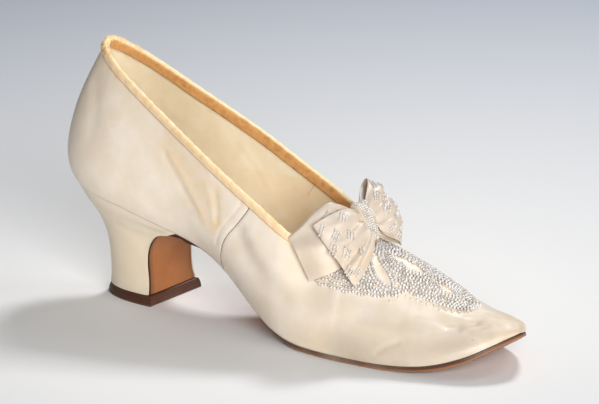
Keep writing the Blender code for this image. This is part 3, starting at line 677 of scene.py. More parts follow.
class UpperShape:
    """Outer face of the upper as a function of row number and height share."""

    def __init__(self):
        table = np.array(SECTIONS)
        turn = np.arange(ALL_ROWS)
        rows = np.minimum(turn, ALL_ROWS - turn)
        side = np.where(turn <= HEEL_ROW, 1.0, -1.0)
        column = {name: table[rows, i] for i, name in enumerate(SECTION_NAMES)}
        reach = np.where(side > 0, -column["lat"], column["med"])
        ridge = np.gradient(table[:, 7], table[:, 5])
        ridge[THROAT_ROW + 1:] = 0.0
        fan = np.where(rows <= FAN_ROW, 1.0, np.where(rows == FAN_ROW + 1, FAN_NEXT, 0.0))
        self.data = {}
        self.keep("fx", column["fx"], "smooth")
        self.keep("fy", column["cy"] + reach, "smooth")
        for name in ("fz", "cy") + SECTION_NAMES[8:]:
            self.keep(name, column[name], "flat")
        self.keep("slope", ridge[rows], "flat")
        self.keep("fan", fan, "flat")
        top = np.stack([column["tx"], column["cy"] - side * column["th"], column["tz"]], -1)
        self.edge = top[THROAT_ROW:ALL_ROWS - THROAT_ROW]
        self.edge_way = np.stack([closed_slopes(self.edge[:, i], "smooth") for i in range(3)], -1)
        self.ridge = top[:THROAT_ROW + 1]
        self.ridge_way = np.gradient(self.ridge, axis=0)

    def keep(self, name, values, kind):
        """Keep one column with its slopes."""
        self.data[name] = (values, closed_slopes(values, kind))

    def get(self, name, rows):
        """One column at fractional rows."""
        return closed_value(*self.data[name], rows)

    def foot(self, rows):
        """Points where the wall meets the sole."""
        return np.stack([self.get(name, rows) for name in ("fx", "fy", "fz")], -1)

    def top(self, rows):
        """Points on the ridge or on the topline."""
        turn = np.mod(np.asarray(rows, float), ALL_ROWS)
        fold = np.minimum(turn, ALL_ROWS - turn)
        on_ridge = np.minimum(fold, THROAT_ROW - 1e-6)
        on_edge = np.mod(turn - THROAT_ROW, len(self.edge))
        found = []
        for i in range(3):
            ridge = closed_value(self.ridge[:, i], self.ridge_way[:, i], on_ridge)
            edge = closed_value(self.edge[:, i], self.edge_way[:, i], on_edge)
            found.append(np.where(fold < THROAT_ROW, ridge, edge))
        return np.stack(found, -1)

    def out(self, rows):
        """Level direction out of the shoe along the sole's edge."""
        way = self.foot(rows + FOOT_STEP) - self.foot(rows - FOOT_STEP)
        return unit(np.stack([-way[:, 1], way[:, 0], np.zeros(len(way))], -1))

    def point(self, rows, share):
        """Points on the outer face; share runs from 0 at the sole to 1 at the top."""
        rows = np.asarray(rows, float)
        share = np.asarray(share, float)[..., None]
        foot = self.foot(rows)
        top = self.top(rows)
        out = self.out(rows)
        rise = np.array([0.0, 0.0, 1.0])
        low = foot + out * self.get("lo_out", rows)[:, None]
        low = low + rise * self.get("lo_up", rows)[:, None]
        fan = self.get("fan", rows)[:, None]
        spread = unit((foot - top) * LEVEL)
        lean = unit(fan * spread + (1.0 - fan) * out)
        lean = lean + rise * (lean[:, 0] * self.get("slope", rows))[:, None]
        high = top + lean * self.get("hi_out", rows)[:, None]
        high = high - rise * self.get("hi_down", rows)[:, None]
        left = 1.0 - share
        curve = left ** 3 * foot + 3 * left ** 2 * share * low
        return curve + 3 * left * share ** 2 * high + share ** 3 * top

    def normal(self, rows, share):
        """Outward direction of the face."""
        rows = np.asarray(rows, float)
        share = np.asarray(share, float)
        along = self.point(rows + ROW_STEP, share) - self.point(rows - ROW_STEP, share)
        up = self.point(rows, np.minimum(share + SHARE_STEP, 1.0))
        up = up - self.point(rows, np.maximum(share - SHARE_STEP, 0.0))
        return unit(np.cross(up, along))

    def spots(self, places):
        """Points on the face from (row, share) pairs."""
        pairs = np.asarray(places, float)
        return self.point(pairs[:, 0], pairs[:, 1])

    def foot_z(self, x):
        """Height of the sole's edge at a distance from the heel."""
        foot = self.foot(np.linspace(HEEL_ROW, 0, FOOT_SAMPLES))
        return np.interp(x, foot[:, 0], foot[:, 2])


SHAPE = UpperShape()


def place(points):
    """Table millimetres to metres in the frame."""
    return (np.asarray(points, float) - CENTRE) * MM


def unplace(point):
    """Metres in the frame to table millimetres."""
    return np.array(point) / MM + CENTRE


def grid(levels, columns, closed):
    """Quads of a sheet of points; closed joins the last column to the first."""
    level, column = np.meshgrid(np.arange(levels - 1), np.arange(columns - (not closed)), indexing="ij")
    a = level * columns + column
    b = level * columns + (column + 1) % columns
    return np.stack([a, b, b + columns, a + columns], -1).reshape(-1, 4)


def wall_between(outer, inner, closed, free_top=None):
    """Points and quads of a wall between two sheets that share their columns."""
    levels, columns = outer.shape[:2]
    start = levels * columns
    last = start + (inner.shape[0] - 1) * columns
    verts = np.concatenate([outer.reshape(-1, 3), inner.reshape(-1, 3)])
    j = np.arange(columns - (not closed))
    k = (j + 1) % columns
    top = (levels - 1) * columns
    rim = np.stack([top + j, top + k, last + k, last + j], -1)
    faces = [grid(levels, columns, closed), start + grid(inner.shape[0], columns, closed)]
    faces.append(np.stack([j, k, start + k, start + j], -1))
    faces.append(rim if free_top is None else rim[free_top])
    if not closed:
        i = np.arange(levels - 1) * columns
        for side in (0, columns - 1):
            a = i + side
            faces.append(np.stack([a, a + columns, start + a + columns, start + a], -1))
    return verts, np.concatenate(faces)


def rings_solid(rings):
    """Points and faces of a closed body through rings of equal count."""
    count = rings.shape[1]
    faces = grid(len(rings), count, True).tolist()
    faces.append(list(range(count)))
    last = (len(rings) - 1) * count
    faces.append([last + j for j in range(count)])
    return rings.reshape(-1, 3), faces


def link_new(name, data):
    """New object in the scene."""
    item = bpy.data.objects.new(name, data)
    bpy.context.scene.collection.objects.link(item)
    return item


def add_piece(name, verts, faces, skin, replaced=(), masks=None, weld=0.0, sharp=0.0):
    """Mesh object that rides on the slipper, with its finish and point masks."""
    mesh = bpy.data.meshes.new(name)
    if isinstance(faces, np.ndarray):
        faces = faces.tolist()
    mesh.from_pydata(place(verts).tolist(), [], faces)
    for mask, values in (masks or {}).items():
        layer = mesh.attributes.new(mask, "FLOAT", "POINT")
        layer.data.foreach_set("value", np.asarray(values, np.float32).ravel())
    work = bmesh.new()
    work.from_mesh(mesh)
    if weld:
        bmesh.ops.remove_doubles(work, verts=work.verts, dist=weld * MM)
    bmesh.ops.recalc_face_normals(work, faces=work.faces)
    work.to_mesh(mesh)
    work.free()
    mesh.shade_smooth()
    if sharp:
        mesh.set_sharp_from_angle(angle=math.radians(sharp))
    mesh.materials.append(skin)
    item = link_new(name, mesh)
    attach(item, BODY)
    if replaced:
        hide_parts(*replaced)


def line_distance(points, line):
    """Distance from each point to a line of a few points."""
    best = np.full(len(points), 1e9)
    for start, end in zip(line[:-1], line[1:]):
        way = end - start
        share = np.clip((points - start) @ way / max(way @ way, 1e-9), 0.0, 1.0)
        gap = np.linalg.norm(points - start - share[:, None] * way, axis=1)
        best = np.minimum(best, gap)
    return best


def band(values, strength, middle, width):
    """Soft band of a strength about a middle value."""
    return strength * np.exp(-((values - middle) / width) ** 2)


def fading(values, strength, reach):
    """Strength that fades with distance."""
    return strength * np.exp(-values / reach)


def spot_mask(points, spots):
    """Soft marks along lines on the wall, strongest where they overlap."""
    mask = np.zeros(len(points))
    for strength, radius, places in spots:
        gap = line_distance(points, SHAPE.spots(places))
        mask = np.maximum(mask, band(gap, strength, 0.0, radius))
    return mask


def ripple(run, waves):
    """Sum of sine waves along a run: height, rate and start of each."""
    return sum(height * np.sin(run * rate + start) for height, rate, start in waves)


def distance_along(points):
    """Distance from the start of a line at each of its points."""
    return np.append(0.0, np.cumsum(np.linalg.norm(np.diff(points, axis=0), axis=1)))


def line_at(at, run, line):
    """Place on a line at a distance from its start."""
    return np.array([np.interp(at, run, column) for column in np.asarray(line, float).T])


def tube(line, radius, sides=6):
    """Points and faces of a closed thread along a line."""
    line = np.asarray(line, float)
    way = unit(np.gradient(line, axis=0))
    across = unit(np.cross(way, SLANT))
    rise = np.cross(across, way)
    turn = np.linspace(0.0, 2.0 * math.pi, sides, endpoint=False)
    radius = np.broadcast_to(np.asarray(radius, float), (len(line),))
    ring = across[:, None] * np.cos(turn)[None, :, None] + rise[:, None] * np.sin(turn)[None, :, None]
    return rings_solid(line[:, None] + ring * radius[:, None, None])


def gather(parts):
    """Join many (points, faces) into one list of points and faces."""
    verts = []
    faces = []
    start = 0
    for points, quads in parts:
        verts.append(points)
        faces.extend([[start + k for k in face] for face in quads])
        start += len(points)
    return np.concatenate(verts), faces


class Wires:
    """Short calls for building a node tree."""

    def __init__(self, tree):
        self.tree = tree

    def put(self, socket, value):
        """Link a socket to another or set its value."""
        if isinstance(value, bpy.types.NodeSocket):
            self.tree.links.new(value, socket)
        elif socket.type == "RGBA" and len(value) == 3:
            socket.default_value = (*value, 1.0)
        else:
            socket.default_value = value

    def fill(self, node, values):
        """Set a node's inputs by name."""
        for name, value in values.items():
            self.put(node.inputs[name.replace("_", " ")], value)
        return node

    def add(self, kind, **values):
        """New node with its inputs set by name."""
        return self.fill(self.tree.nodes.new("ShaderNode" + kind), values)

    def group(self, tree, **values):
        """Placed copy of a node group."""
        made = self.add("Group")
        made.node_tree = tree
        return self.fill(made, values).outputs

    def mix(self, factor, a, b):
        """Mix of two colours."""
        made = self.add("Mix")
        made.data_type = "RGBA"
        for index, value in ((0, factor), (6, a), (7, b)):
            self.put(made.inputs[index], value)
        return made.outputs[2]

    def math(self, way, a, b=0.0):
        """One sum on values."""
        made = self.add("Math")
        made.operation = way
        self.put(made.inputs[0], a)
        self.put(made.inputs[1], b)
        return made.outputs[0]

    def span(self, value, low, high, start=0.0, end=1.0):
        """Value moved from one range to another and held there."""
        made = self.add("MapRange", Value=value)
        for index, number in ((1, low), (2, high), (3, start), (4, end)):
            made.inputs[index].default_value = number
        return made.outputs[0]

    def mask(self, name):
        """Point mask of the piece."""
        made = self.add("Attribute")
        made.attribute_name = name
        return made.outputs["Fac"]

    def where(self, scale=(1.0, 1.0, 1.0)):
        """Place on the slipper, stretched by axis."""
        return self.add("Mapping", Vector=self.add("TexCoord").outputs["Object"], Scale=scale).outputs[0]

    def noise(self, scale, detail=2.0, vector=None):
        """Cloudy value."""
        return self.add("TexNoise", Scale=scale, Detail=detail, Vector=vector or self.where()).outputs[0]


def new_group(name, inputs, outputs):
    """Empty shader node group with named sockets, as (tree, wires, inputs, outputs)."""
    tree = bpy.data.node_groups.new(name, "ShaderNodeTree")
    for way, sockets in (("INPUT", inputs), ("OUTPUT", outputs)):
        for label, kind in sockets:
            tree.interface.new_socket(name=label, in_out=way, socket_type="NodeSocket" + kind)
    source = tree.nodes.new("NodeGroupInput")
    result = tree.nodes.new("NodeGroupOutput")
    return tree, Wires(tree), source.outputs, result.inputs


def cached_group(name, build):
    """The named group, built on first use."""
    return bpy.data.node_groups.get(name) or build(name)


def build_weave(name):
    """Satin ground: clouded tone, long slubs and fine threads."""
    tree, wires, source, result = new_group(
        name, (("Colour", "Color"), ("Shade", "Color"), ("Cloud", "Float"), ("Drape", "Float")),
        (("Colour", "Color"), ("Roughness", "Float"), ("Height", "Float")))
    close = wires.math("MULTIPLY", wires.noise(scale=95.0, detail=5.0), 0.6)
    broad = wires.math("MULTIPLY", wires.noise(scale=22.0, detail=3.0), 0.4)
    cloud = wires.span(wires.math("ADD", close, broad), 0.40, 0.62)
    slub = wires.noise(scale=1.0, detail=2.0, vector=wires.where((210.0, 1500.0, 1500.0)))
    thread = wires.noise(scale=1.0, detail=1.0, vector=wires.where((4200.0, 900.0, 900.0)))
    tone = wires.math("MULTIPLY", cloud, source["Cloud"])
    colour = wires.mix(tone, source["Colour"], source["Shade"])
    fleck = wires.math("MULTIPLY", wires.span(slub, 0.55, 0.8), 0.25)
    wires.put(result["Colour"], wires.mix(fleck, colour, source["Shade"]))
    wires.put(result["Roughness"], wires.span(wires.math("ADD", cloud, slub), 0.4, 1.4, 0.36, 0.52))
    drape = wires.noise(scale=75.0, detail=3.0, vector=wires.where((1.0, 1.0, 0.6)))
    fine = wires.math("ADD", wires.math("MULTIPLY", slub, 0.65), wires.math("MULTIPLY", thread, 0.35))
    wires.put(result["Height"], wires.math("ADD", fine, wires.math("MULTIPLY", drape, source["Drape"])))
    return tree


def build_soil(name):
    """Mark laid over a colour, broken up by a cloudy edge."""
    tree, wires, source, result = new_group(
        name, (("Colour", "Color"), ("Soil", "Color"), ("Mask", "Float"), ("Scale", "Float")),
        (("Colour", "Color"),))
    cloud = wires.span(wires.noise(scale=source["Scale"], detail=4.0), 0.3, 0.7, 0.45, 1.25)
    amount = wires.math("MINIMUM", wires.math("MULTIPLY", source["Mask"], cloud), 1.0)
    wires.put(result["Colour"], wires.mix(amount, source["Colour"], source["Soil"]))
    return tree


def build_grain(name):
    """Leather: pores, fibres and a worn tone."""
    tree, wires, source, result = new_group(
        name, (("Colour", "Color"), ("Dark", "Color"), ("Scale", "Float")),
        (("Colour", "Color"), ("Roughness", "Float"), ("Height", "Float")))
    cells = wires.add("TexVoronoi", Scale=source["Scale"], Vector=wires.where())
    cloud = wires.noise(scale=90.0, detail=4.0)
    fibre = wires.noise(scale=1.0, detail=3.0, vector=wires.where((260.0, 900.0, 900.0)))
    dark = wires.math("MULTIPLY", wires.span(cloud, 0.4, 0.7), 0.55)
    colour = wires.mix(dark, source["Colour"], source["Dark"])
    streak = wires.math("MULTIPLY", wires.span(fibre, 0.5, 0.75), 0.3)
    wires.put(result["Colour"], wires.mix(streak, colour, source["Dark"]))
    wires.put(result["Roughness"], wires.span(cloud, 0.3, 0.7, 0.42, 0.62))
    wires.put(result["Height"], wires.math("ADD", cells.outputs["Distance"], fibre))
    return tree


def build_rib(name):
    """Ribbon with threads across it: tone and height from the distance along it."""
    tree, wires, source, result = new_group(
        name, (("Run", "Float"), ("Pitch", "Float"), ("Colour", "Color"), ("Dark", "Color")),
        (("Colour", "Color"), ("Height", "Float")))
    turn = wires.math("DIVIDE", wires.math("MULTIPLY", source["Run"], 2.0 * math.pi), source["Pitch"])
    wave = wires.math("SINE", turn)
    fray = wires.noise(scale=900.0, detail=3.0)
    patch = wires.span(wires.noise(scale=330.0, detail=4.0), 0.38, 0.64, 0.0, 0.75)
    lift = wires.math("ADD", wires.math("MULTIPLY", wave, 0.3), fray)
    shade = wires.math("MAXIMUM", wires.span(lift, 0.15, 0.75, 0.5, 0.0), patch)
    wires.put(result["Colour"], wires.mix(shade, source["Colour"], source["Dark"]))
    wires.put(result["Height"], lift)
    return tree


def new_skin(name, **constants):
    """Material, its wires and its shader's inputs, with constants set on them."""
    skin = bpy.data.materials.new(name)
    skin.use_nodes = True
    wires = Wires(skin.node_tree)
    shader = wires.fill(skin.node_tree.nodes["Principled BSDF"], constants)
    return skin, wires, shader.inputs


def bump(wires, height, strength, distance):
    """Normal from a height in millimetres."""
    return wires.add("Bump", Height=height, Strength=strength, Distance=distance * MM).outputs[0]


def satin_skin(name, look, colour, shade, cloud, tone=None, spots=None):
    """Worn ivory satin, yellowed and soiled by the piece's masks, which carry some painted shade too, with
    painted shade in the tone colour and spots if given.
    """
    skin, wires, shader = new_skin(name, Sheen_Weight=0.18, Sheen_Roughness=0.4,
                                   Specular_IOR_Level=0.45, Anisotropic=0.35)
    weave = wires.group(cached_group("satin weave", build_weave), Colour=colour, Shade=shade, Cloud=cloud,
                        Drape=4.0)
    soil = cached_group("soil", build_soil)
    aged_and_shaded = wires.group(soil, Colour=weave["Colour"], Soil=look.yellowed, Mask=wires.mask("yellowed"),
                       Scale=160.0)
    worn = aged_and_shaded["Colour"]
    # Painted shade in the tone colour, laid by its own mask.
    if tone is not None:
        worn = wires.mix(wires.mask("toned"), worn, tone)
    dirty_and_shaded = wires.group(soil, Colour=worn, Soil=look.soil, Mask=wires.mask("soiled"), Scale=260.0)
    if spots is not None:
        dirty_and_shaded = wires.group(soil, Colour=dirty_and_shaded["Colour"], Soil=spots, Mask=wires.mask("marks"), Scale=500.0)
    wires.put(shader["Base Color"], dirty_and_shaded["Colour"])
    wires.put(shader["Roughness"], weave["Roughness"])
    wires.put(shader["Normal"], bump(wires, weave["Height"], strength=0.35, distance=0.12))
    return skin


def leather_skin(name, look, colour, dark, pores):
    """Leather whose masked edges are stained darker; on the sole the edge's lower bevel keeps less stain, as
    painted light.
    """
    skin, wires, shader = new_skin(name, Specular_IOR_Level=0.3, Coat_Weight=0.08, Coat_Roughness=0.35)
    grain = wires.group(cached_group("hide grain", build_grain), Colour=colour, Dark=dark, Scale=pores)
    soil = cached_group("soil", build_soil)
    stain_and_light = wires.mix(wires.mask("edge"), grain["Colour"], look.sole_edge)
    worn = wires.group(soil, Colour=stain_and_light, Soil=look.soil, Mask=wires.mask("worn"), Scale=120.0)
    wires.put(shader["Base Color"], worn["Colour"])
    wires.put(shader["Roughness"], grain["Roughness"])
    wires.put(shader["Normal"], bump(wires, grain["Height"], strength=0.4, distance=0.15))
    return skin


def binding_skin(look):
    """Cream ribbon over the edge, peach at its outer hem and amber inside."""
    skin, wires, shader = new_skin("binding ribbon", Roughness=0.5, Sheen_Weight=0.15)
    rib = cached_group("ribbon rib", build_rib)
    pale, amber, peach = (
        wires.group(rib, Run=wires.mask("run"), Pitch=RIB_PITCH, Colour=colour, Dark=dark)
        for colour, dark in ((look.binding, look.binding_dark), (look.amber, look.amber_dark),
                             (look.binding_hem, look.hem_dark)))
    patch = wires.span(wires.noise(scale=210.0, detail=4.0), 0.35, 0.65, -0.08, 0.08)
    across = wires.math("ADD", wires.mask("inside"), patch)
    hem = wires.span(across, 0.37, 0.24, 0.0, 0.9)
    outside = wires.mix(hem, pale["Colour"], peach["Colour"])
    inside = wires.span(wires.mask("inside"), 0.55, 0.63)
    wires.put(shader["Base Color"], wires.mix(inside, outside, amber["Colour"]))
    wires.put(shader["Normal"], bump(wires, pale["Height"], strength=0.35, distance=0.15))
    return skin


def bead_skin(look):
    """Clear and silvered glass, a tone for each bead."""
    skin, wires, shader = new_skin("glass beads", Roughness=0.16, Specular_IOR_Level=0.6,
                                   Transmission_Weight=0.15, IOR=1.45)
    wires.put(shader["Base Color"], wires.mix(wires.mask("tone"), look.bead_dark, look.bead))
    return skin


def thread_skin(name, colour):
    """Plain twisted thread."""
    skin, wires, shader = new_skin(name, Roughness=0.7)
    cloud = wires.span(wires.noise(scale=600.0, detail=3.0), 0.3, 0.7, 0.0, 0.4)
    dark = tuple(0.6 * value for value in colour)
    wires.put(shader["Base Color"], wires.mix(cloud, tuple(colour), dark))
    return skin


def make_upper(look, size):
    """Satin wall with its creases, and the lining inside it."""
    half = np.concatenate([np.arange(*span) for span in COLUMN_STEPS] + [[float(HEEL_ROW)]])
    rows = np.concatenate([half, ALL_ROWS - half[-2:0:-1]])
    columns = len(rows)
    table_rows, table_shares = np.meshgrid(rows, np.linspace(0.0, 1.0, WALL_LEVELS))
    flat_rows = table_rows.ravel()
    shares = table_shares.ravel()
    face = SHAPE.point(flat_rows, shares)
    way = SHAPE.normal(flat_rows, np.clip(shares, SHARE_STEP, 1.0 - SHARE_STEP))
    lift = crease_lift(face, flat_rows, shares, size.crease)
    fold = np.minimum(rows, ALL_ROWS - rows)
    ridge = np.nonzero(fold <= THROAT_ROW)[0]
    mates = (columns - ridge) % columns
    free = (fold >= THROAT_ROW) & (np.roll(fold, -1) >= THROAT_ROW)

    def sheet(depth, keep, follow=1.0):
        """Face moved inward, with both sides of the ridge brought together."""
        moved = (face + way * (follow * lift - depth)[:, None]).reshape(WALL_LEVELS, columns, 3)
        top = moved[-1].copy()
        moved[-1, ridge] = 0.5 * (top[ridge] + top[mates])
        return moved[keep]

    every = np.arange(WALL_LEVELS)
    outer = sheet(0.0, every)
    inner = sheet(SATIN_BACK, every[::BACK_STEP])
    verts, faces = wall_between(outer, inner, True, free)
    from_top = np.linalg.norm(face - SHAPE.top(flat_rows), axis=1)
    edge = np.where(np.minimum(flat_rows, ALL_ROWS - flat_rows) > THROAT_ROW, from_top, FAR_FROM_EDGE)
    # The yellowing and soil masks also carry some painted shade; the third mask is painted shade.
    marks = {name: spot_mask(face, spots)
             for name, spots in (("yellowed", YELLOWED_AND_SHADED), ("soiled", SOILED_AND_SHADED), ("toned", PAINTED_SHADE))}
    marks["yellowed"] = np.maximum(marks["yellowed"], band(edge, *EDGE_YELLOW))
    inside = np.zeros(inner.shape[0] * columns)
    masks = {name: np.append(mark, inside) for name, mark in marks.items()}
    skin = satin_skin("ivory satin", look, look.satin, look.satin_shade, CLOUDS["satin"], look.toned)
    add_piece("satin_upper", verts, faces, skin, ["upper"], masks, weld=SEAM_WELD)

    outer = sheet(LINING_FACE, every[::BACK_STEP])
    inner = sheet(WALL, every[::LINING_STEP], LINING_FOLLOW)
    verts, faces = wall_between(outer, inner, True, free)
    # Wear of the lining, with painted shade low inside under the near wall.
    worn = band(verts[:, 0], *LINING_WEAR_AND_SHADE) * (verts[:, 2] < LINING_WEAR_AND_SHADE_Z)
    skin = satin_skin("lining cloth", look, look.lining, look.lining_shade, CLOUDS["lining"])
    add_piece("lining", verts, faces, skin, ["upper"],
              {"yellowed": worn, "soiled": np.zeros(len(verts))}, weld=SEAM_WELD)


def crease_lift(face, rows, shares, depth):
    """How far the satin stands off its plain form."""
    height, along, up, aside, start = SATIN_WAVE
    lift = height * np.sin(face[:, 0] / along + start) * np.sin(face[:, 2] / up + face[:, 1] / aside)
    for amount, width, places in CREASES:
        lift += band(line_distance(face, SHAPE.spots(places)), amount * depth, 0.0, width)
    fold = np.minimum(rows, ALL_ROWS - rows)
    drop = np.linalg.norm(face - SHAPE.top(rows), axis=1)
    pucker = band(drop, PUCKER_DEEP * depth * ripple(rows, PUCKERS), 0.0, PUCKER_REACH)
    lift += np.where(fold > THROAT_ROW, pucker, 0.0)
    for side in (1.0, -1.0):
        for behind, first, last, deep, width in SEAM_GROOVES:
            places = [(side * (row + behind), share) for row, share in SIDE_SEAM[first:last]]
            line = smooth_line(SHAPE.spots(places), GROOVE_POINTS)
            lift -= band(line_distance(face, line), deep, 0.0, width)
    return lift * np.clip(shares / CREASE_FADE, 0.0, 1.0)


def make_seams(look, crease):
    """Closed slits of the side seams outside, and the lining's own seams inside."""
    for name, depth, share, radius, shade, end in SEAM_LINES:
        places = smooth_line(SIDE_SEAM, SEAM_POINTS)[:end]
        fine = np.linspace(1.0, SEAM_TAPER, end)
        parts = []
        for side in (1.0, -1.0):
            rows = side * places[:, 0]
            line = SHAPE.point(rows, places[:, 1])
            follow = share * crease_lift(line, np.mod(rows, ALL_ROWS), places[:, 1], crease)
            line = line + SHAPE.normal(rows, places[:, 1]) * (follow - depth)[:, None]
            parts.append(tube(line, radius * fine))
        verts, faces = gather(parts)
        add_piece(name, verts, faces, thread_skin(name.replace("_", " "), getattr(look, shade)))


def topline_frame(rows):
    """Points, outward and downward directions along the opening."""
    points = SHAPE.top(rows)
    along = unit(np.roll(points, -1, axis=0) - np.roll(points, 1, axis=0))
    out = SHAPE.normal(rows, np.full(len(rows), NEAR_TOP))
    from_throat = np.minimum(rows - THROAT_ROW, ALL_ROWS - THROAT_ROW - rows)
    out[:, 1] *= 1.0 - band(from_throat, 1.0, 0.0, THROAT_TURN)
    out = unit(out - along * np.sum(out * along, axis=1)[:, None])
    return points, out, unit(-np.cross(along, out))


def on_face(points):
    """Nearest places on the upper's outer face, with the outward directions there."""
    rows, shares = np.meshgrid(np.arange(THROAT_ROW - 2.0, ALL_ROWS - THROAT_ROW + 2.0, HEM_ROW_STEP),
                               np.linspace(HEM_SHARE, 1.0, HEM_LEVELS))
    rows = rows.ravel()
    shares = shares.ravel()
    face = SHAPE.point(rows, shares)
    near = [int(np.argmin(np.sum((face - point) ** 2, axis=1))) for point in points]
    return face[near], SHAPE.normal(rows[near], np.minimum(shares[near], NEAR_TOP))


def soften(values, width):
    """Running mean around a closed line of points."""
    kept = np.zeros_like(values)
    for step in range(-width, width + 1):
        kept += np.roll(values, step, axis=0)
    return kept / (2 * width + 1)


def make_binding(look, size):
    """Ribbon folded over the edge of the opening, with its frayed threads."""
    rows = np.arange(THROAT_ROW, ALL_ROWS - THROAT_ROW, 1.0 / BINDING_COLUMNS)
    points, out, down = topline_frame(rows)
    run = distance_along(points)
    ragged = ripple(run, RAGGED)
    hems = on_face(points + (size.binding_out + RAGGED_OUT * ragged)[:, None] * down)
    hems += on_face(points + (size.binding_in + RAGGED_IN * ragged)[:, None] * down)
    low_out, way_out, low_in, way_in = (soften(values, HEM_SOFTEN) for values in hems)
    half = 0.5 * size.ribbon
    middle = GAP + half
    bulge = ripple(run, BULGE)[:, None]
    press, drop_out, turn_out, rise_out, rise_in, drop_in, hang_face, hang_hem = BINDING_FOLD
    path = np.stack([
        low_out + way_out * (middle - press),
        0.5 * (low_out + points) + out * (middle + bulge),
        points + out * middle + down * drop_out,
        points + out * (turn_out * middle) - down * (middle + rise_out + bulge),
        points - out * WALL - down * (middle + rise_in + bulge),
        points - out * (WALL + middle) + down * drop_in,
        0.5 * (low_in + points) - out * (WALL + middle + hang_face - bulge),
        low_in - way_in * (WALL + middle + hang_hem),
    ])
    line = smooth_line(path, BINDING_ACROSS)
    along = unit(np.roll(line, -1, axis=1) - np.roll(line, 1, axis=1))
    face = unit(np.cross(along, np.gradient(line, axis=0)))
    outer = line + face * half
    inner = line - face * half
    verts, faces = wall_between(outer, inner, True)
    inside = np.repeat(np.linspace(0.0, 1.0, BINDING_ACROSS), len(rows))
    masks = {"inside": np.tile(inside, 2), "run": np.tile(run, 2 * BINDING_ACROSS)}
    skin = binding_skin(look)
    add_piece("binding_ribbon", verts, faces, skin, ["collar_binding"], masks)
    make_frays(skin, line, face, size.frays)


def make_frays(skin, line, face, count):
    """Loose threads along the ribbon's edges and strands wound over it at the back."""
    chance = random.Random(FRAY_SEED)
    total = line.shape[1]
    back = total // 2
    outward = face if face[BINDING_ACROSS // 2, :, 2].mean() > 0.0 else -face
    parts = []
    for index in range(count):
        at_back = index % FRAY_AWAY != 0
        column = int(back + chance.gauss(0.0, FRAY_SPREAD) if at_back else chance.random() * total) % total
        level = chance.choice(FRAY_LEVELS)
        root = line[level, column]
        side = unit(line[level, (column + 1) % total] - root)
        length = chance.uniform(*FRAY_LONG) * FRAY_GROWTH[at_back]
        lean = chance.uniform(-FRAY_LEAN, FRAY_LEAN)
        fall = np.array([0.0, 0.0, -1.0]) * chance.uniform(0.0, FRAY_FALL)
        points = []
        for t in np.linspace(0.0, 1.0, FRAY_POINTS):
            bend = side * lean * t * length + fall * t * t * length
            points.append(root + outward[level, column] * (FRAY_ROOT + FRAY_RISE * t * length) + bend)
        thick = chance.uniform(*FRAY_THICK) if at_back else FRAY_THICK[0]
        parts.append(tube(points, np.linspace(thick, FRAY_TIP, FRAY_POINTS), 4))
    low, swell = STRAND_RISE
    for _ in range(count // STRAND_SHARE):
        column = back + chance.gauss(0.0, STRAND_SPREAD)
        shift = chance.uniform(-STRAND_SHIFT, STRAND_SHIFT)
        start = chance.uniform(0.0, STRAND_START)
        end = start + chance.uniform(*STRAND_REACH)
        points = []
        for t in np.linspace(0.0, 1.0, STRAND_POINTS):
            level = int(round(start + (end - start) * t))
            spot = int(round(column + shift * t)) % total
            rise = low + swell * math.sin(math.pi * t)
            points.append(line[level, spot] + outward[level, spot] * rise)
        parts.append(tube(soften_open(points), chance.uniform(*STRAND_THICK), 5))
    verts, faces = gather(parts)
    masks = {"inside": np.full(len(verts), FRAY_TONE), "run": verts[:, 0]}
    add_piece("binding_frays", verts, faces, skin, masks=masks)


def soften_open(points):
    """Open line with its inner points moved toward their neighbours."""
    points = np.array(points)
    for _ in range(2):
        points[1:-1] = 0.5 * points[1:-1] + 0.25 * (points[:-2] + points[2:])
    return points


def heel_plan():
    """Seat outline from the lateral front corner round the back to the medial one."""
    rows = np.linspace(HEEL_ROW - SEAT_ROWS, HEEL_ROW, SEAT_SAMPLES)
    start = np.interp(-HEEL_FRONT_X, -SHAPE.foot(rows)[:, 0], rows)
    return SHAPE.foot(np.linspace(start, ALL_ROWS - start, HEEL_COLUMNS))


def heel_ring(seat, back, front, half, blend):
    """One level of the heel: back and front are (x, z)."""
    share = np.clip((HEEL_FRONT_X - seat[:, 0]) / (HEEL_FRONT_X - HEEL_BACK_X), 0.0, 1.0)
    plain = np.copysign((1.0 - share ** HEEL_ROUND) ** (1.0 / HEEL_ROUND), seat[:, 1])
    wide = half * (blend * seat[:, 1] / HEEL_HALF + (1.0 - blend) * plain)
    x = front[0] + share * (back[0] - front[0])
    z = front[1] + share * (back[1] - front[1])
    return np.stack([x, wide, z], -1)


def front_shares():
    """Shares of the way across the front, without its corners."""
    return np.linspace(0.0, 1.0, FRONT_STEPS + 2)[1:-1]


def close_front(rings):
    """Each open ring with a straight row of points across its front."""
    share = front_shares()[None, :, None]
    front = rings[:, -1:] * (1.0 - share) + rings[:, :1] * share
    return np.concatenate([rings, front], axis=1)


def lipped_front(rings, lip):
    """Open rings closed across the front, with the cover folded forward at both corners."""
    way = unit(np.gradient(rings[:, 0, ::2], axis=0))
    forward = np.stack([way[:, 1], np.zeros(len(way)), -way[:, 0]], -1) * lip
    inward = np.array([0.0, LIP_THICK, 0.0])
    lateral = rings[:, 0]
    medial = rings[:, -1]
    ends = [medial + forward, medial + forward - inward, medial - inward]
    starts = [lateral + inward, lateral + forward + inward, lateral + forward]
    front = [ends[2] * (1.0 - share) + starts[0] * share for share in front_shares()]
    return np.concatenate([rings, np.stack(ends + front + starts, axis=1)], axis=1)


def level_out(rings):
    """Level directions from the middle of each ring to its points."""
    return unit((rings - rings.mean(axis=1, keepdims=True)) * LEVEL)


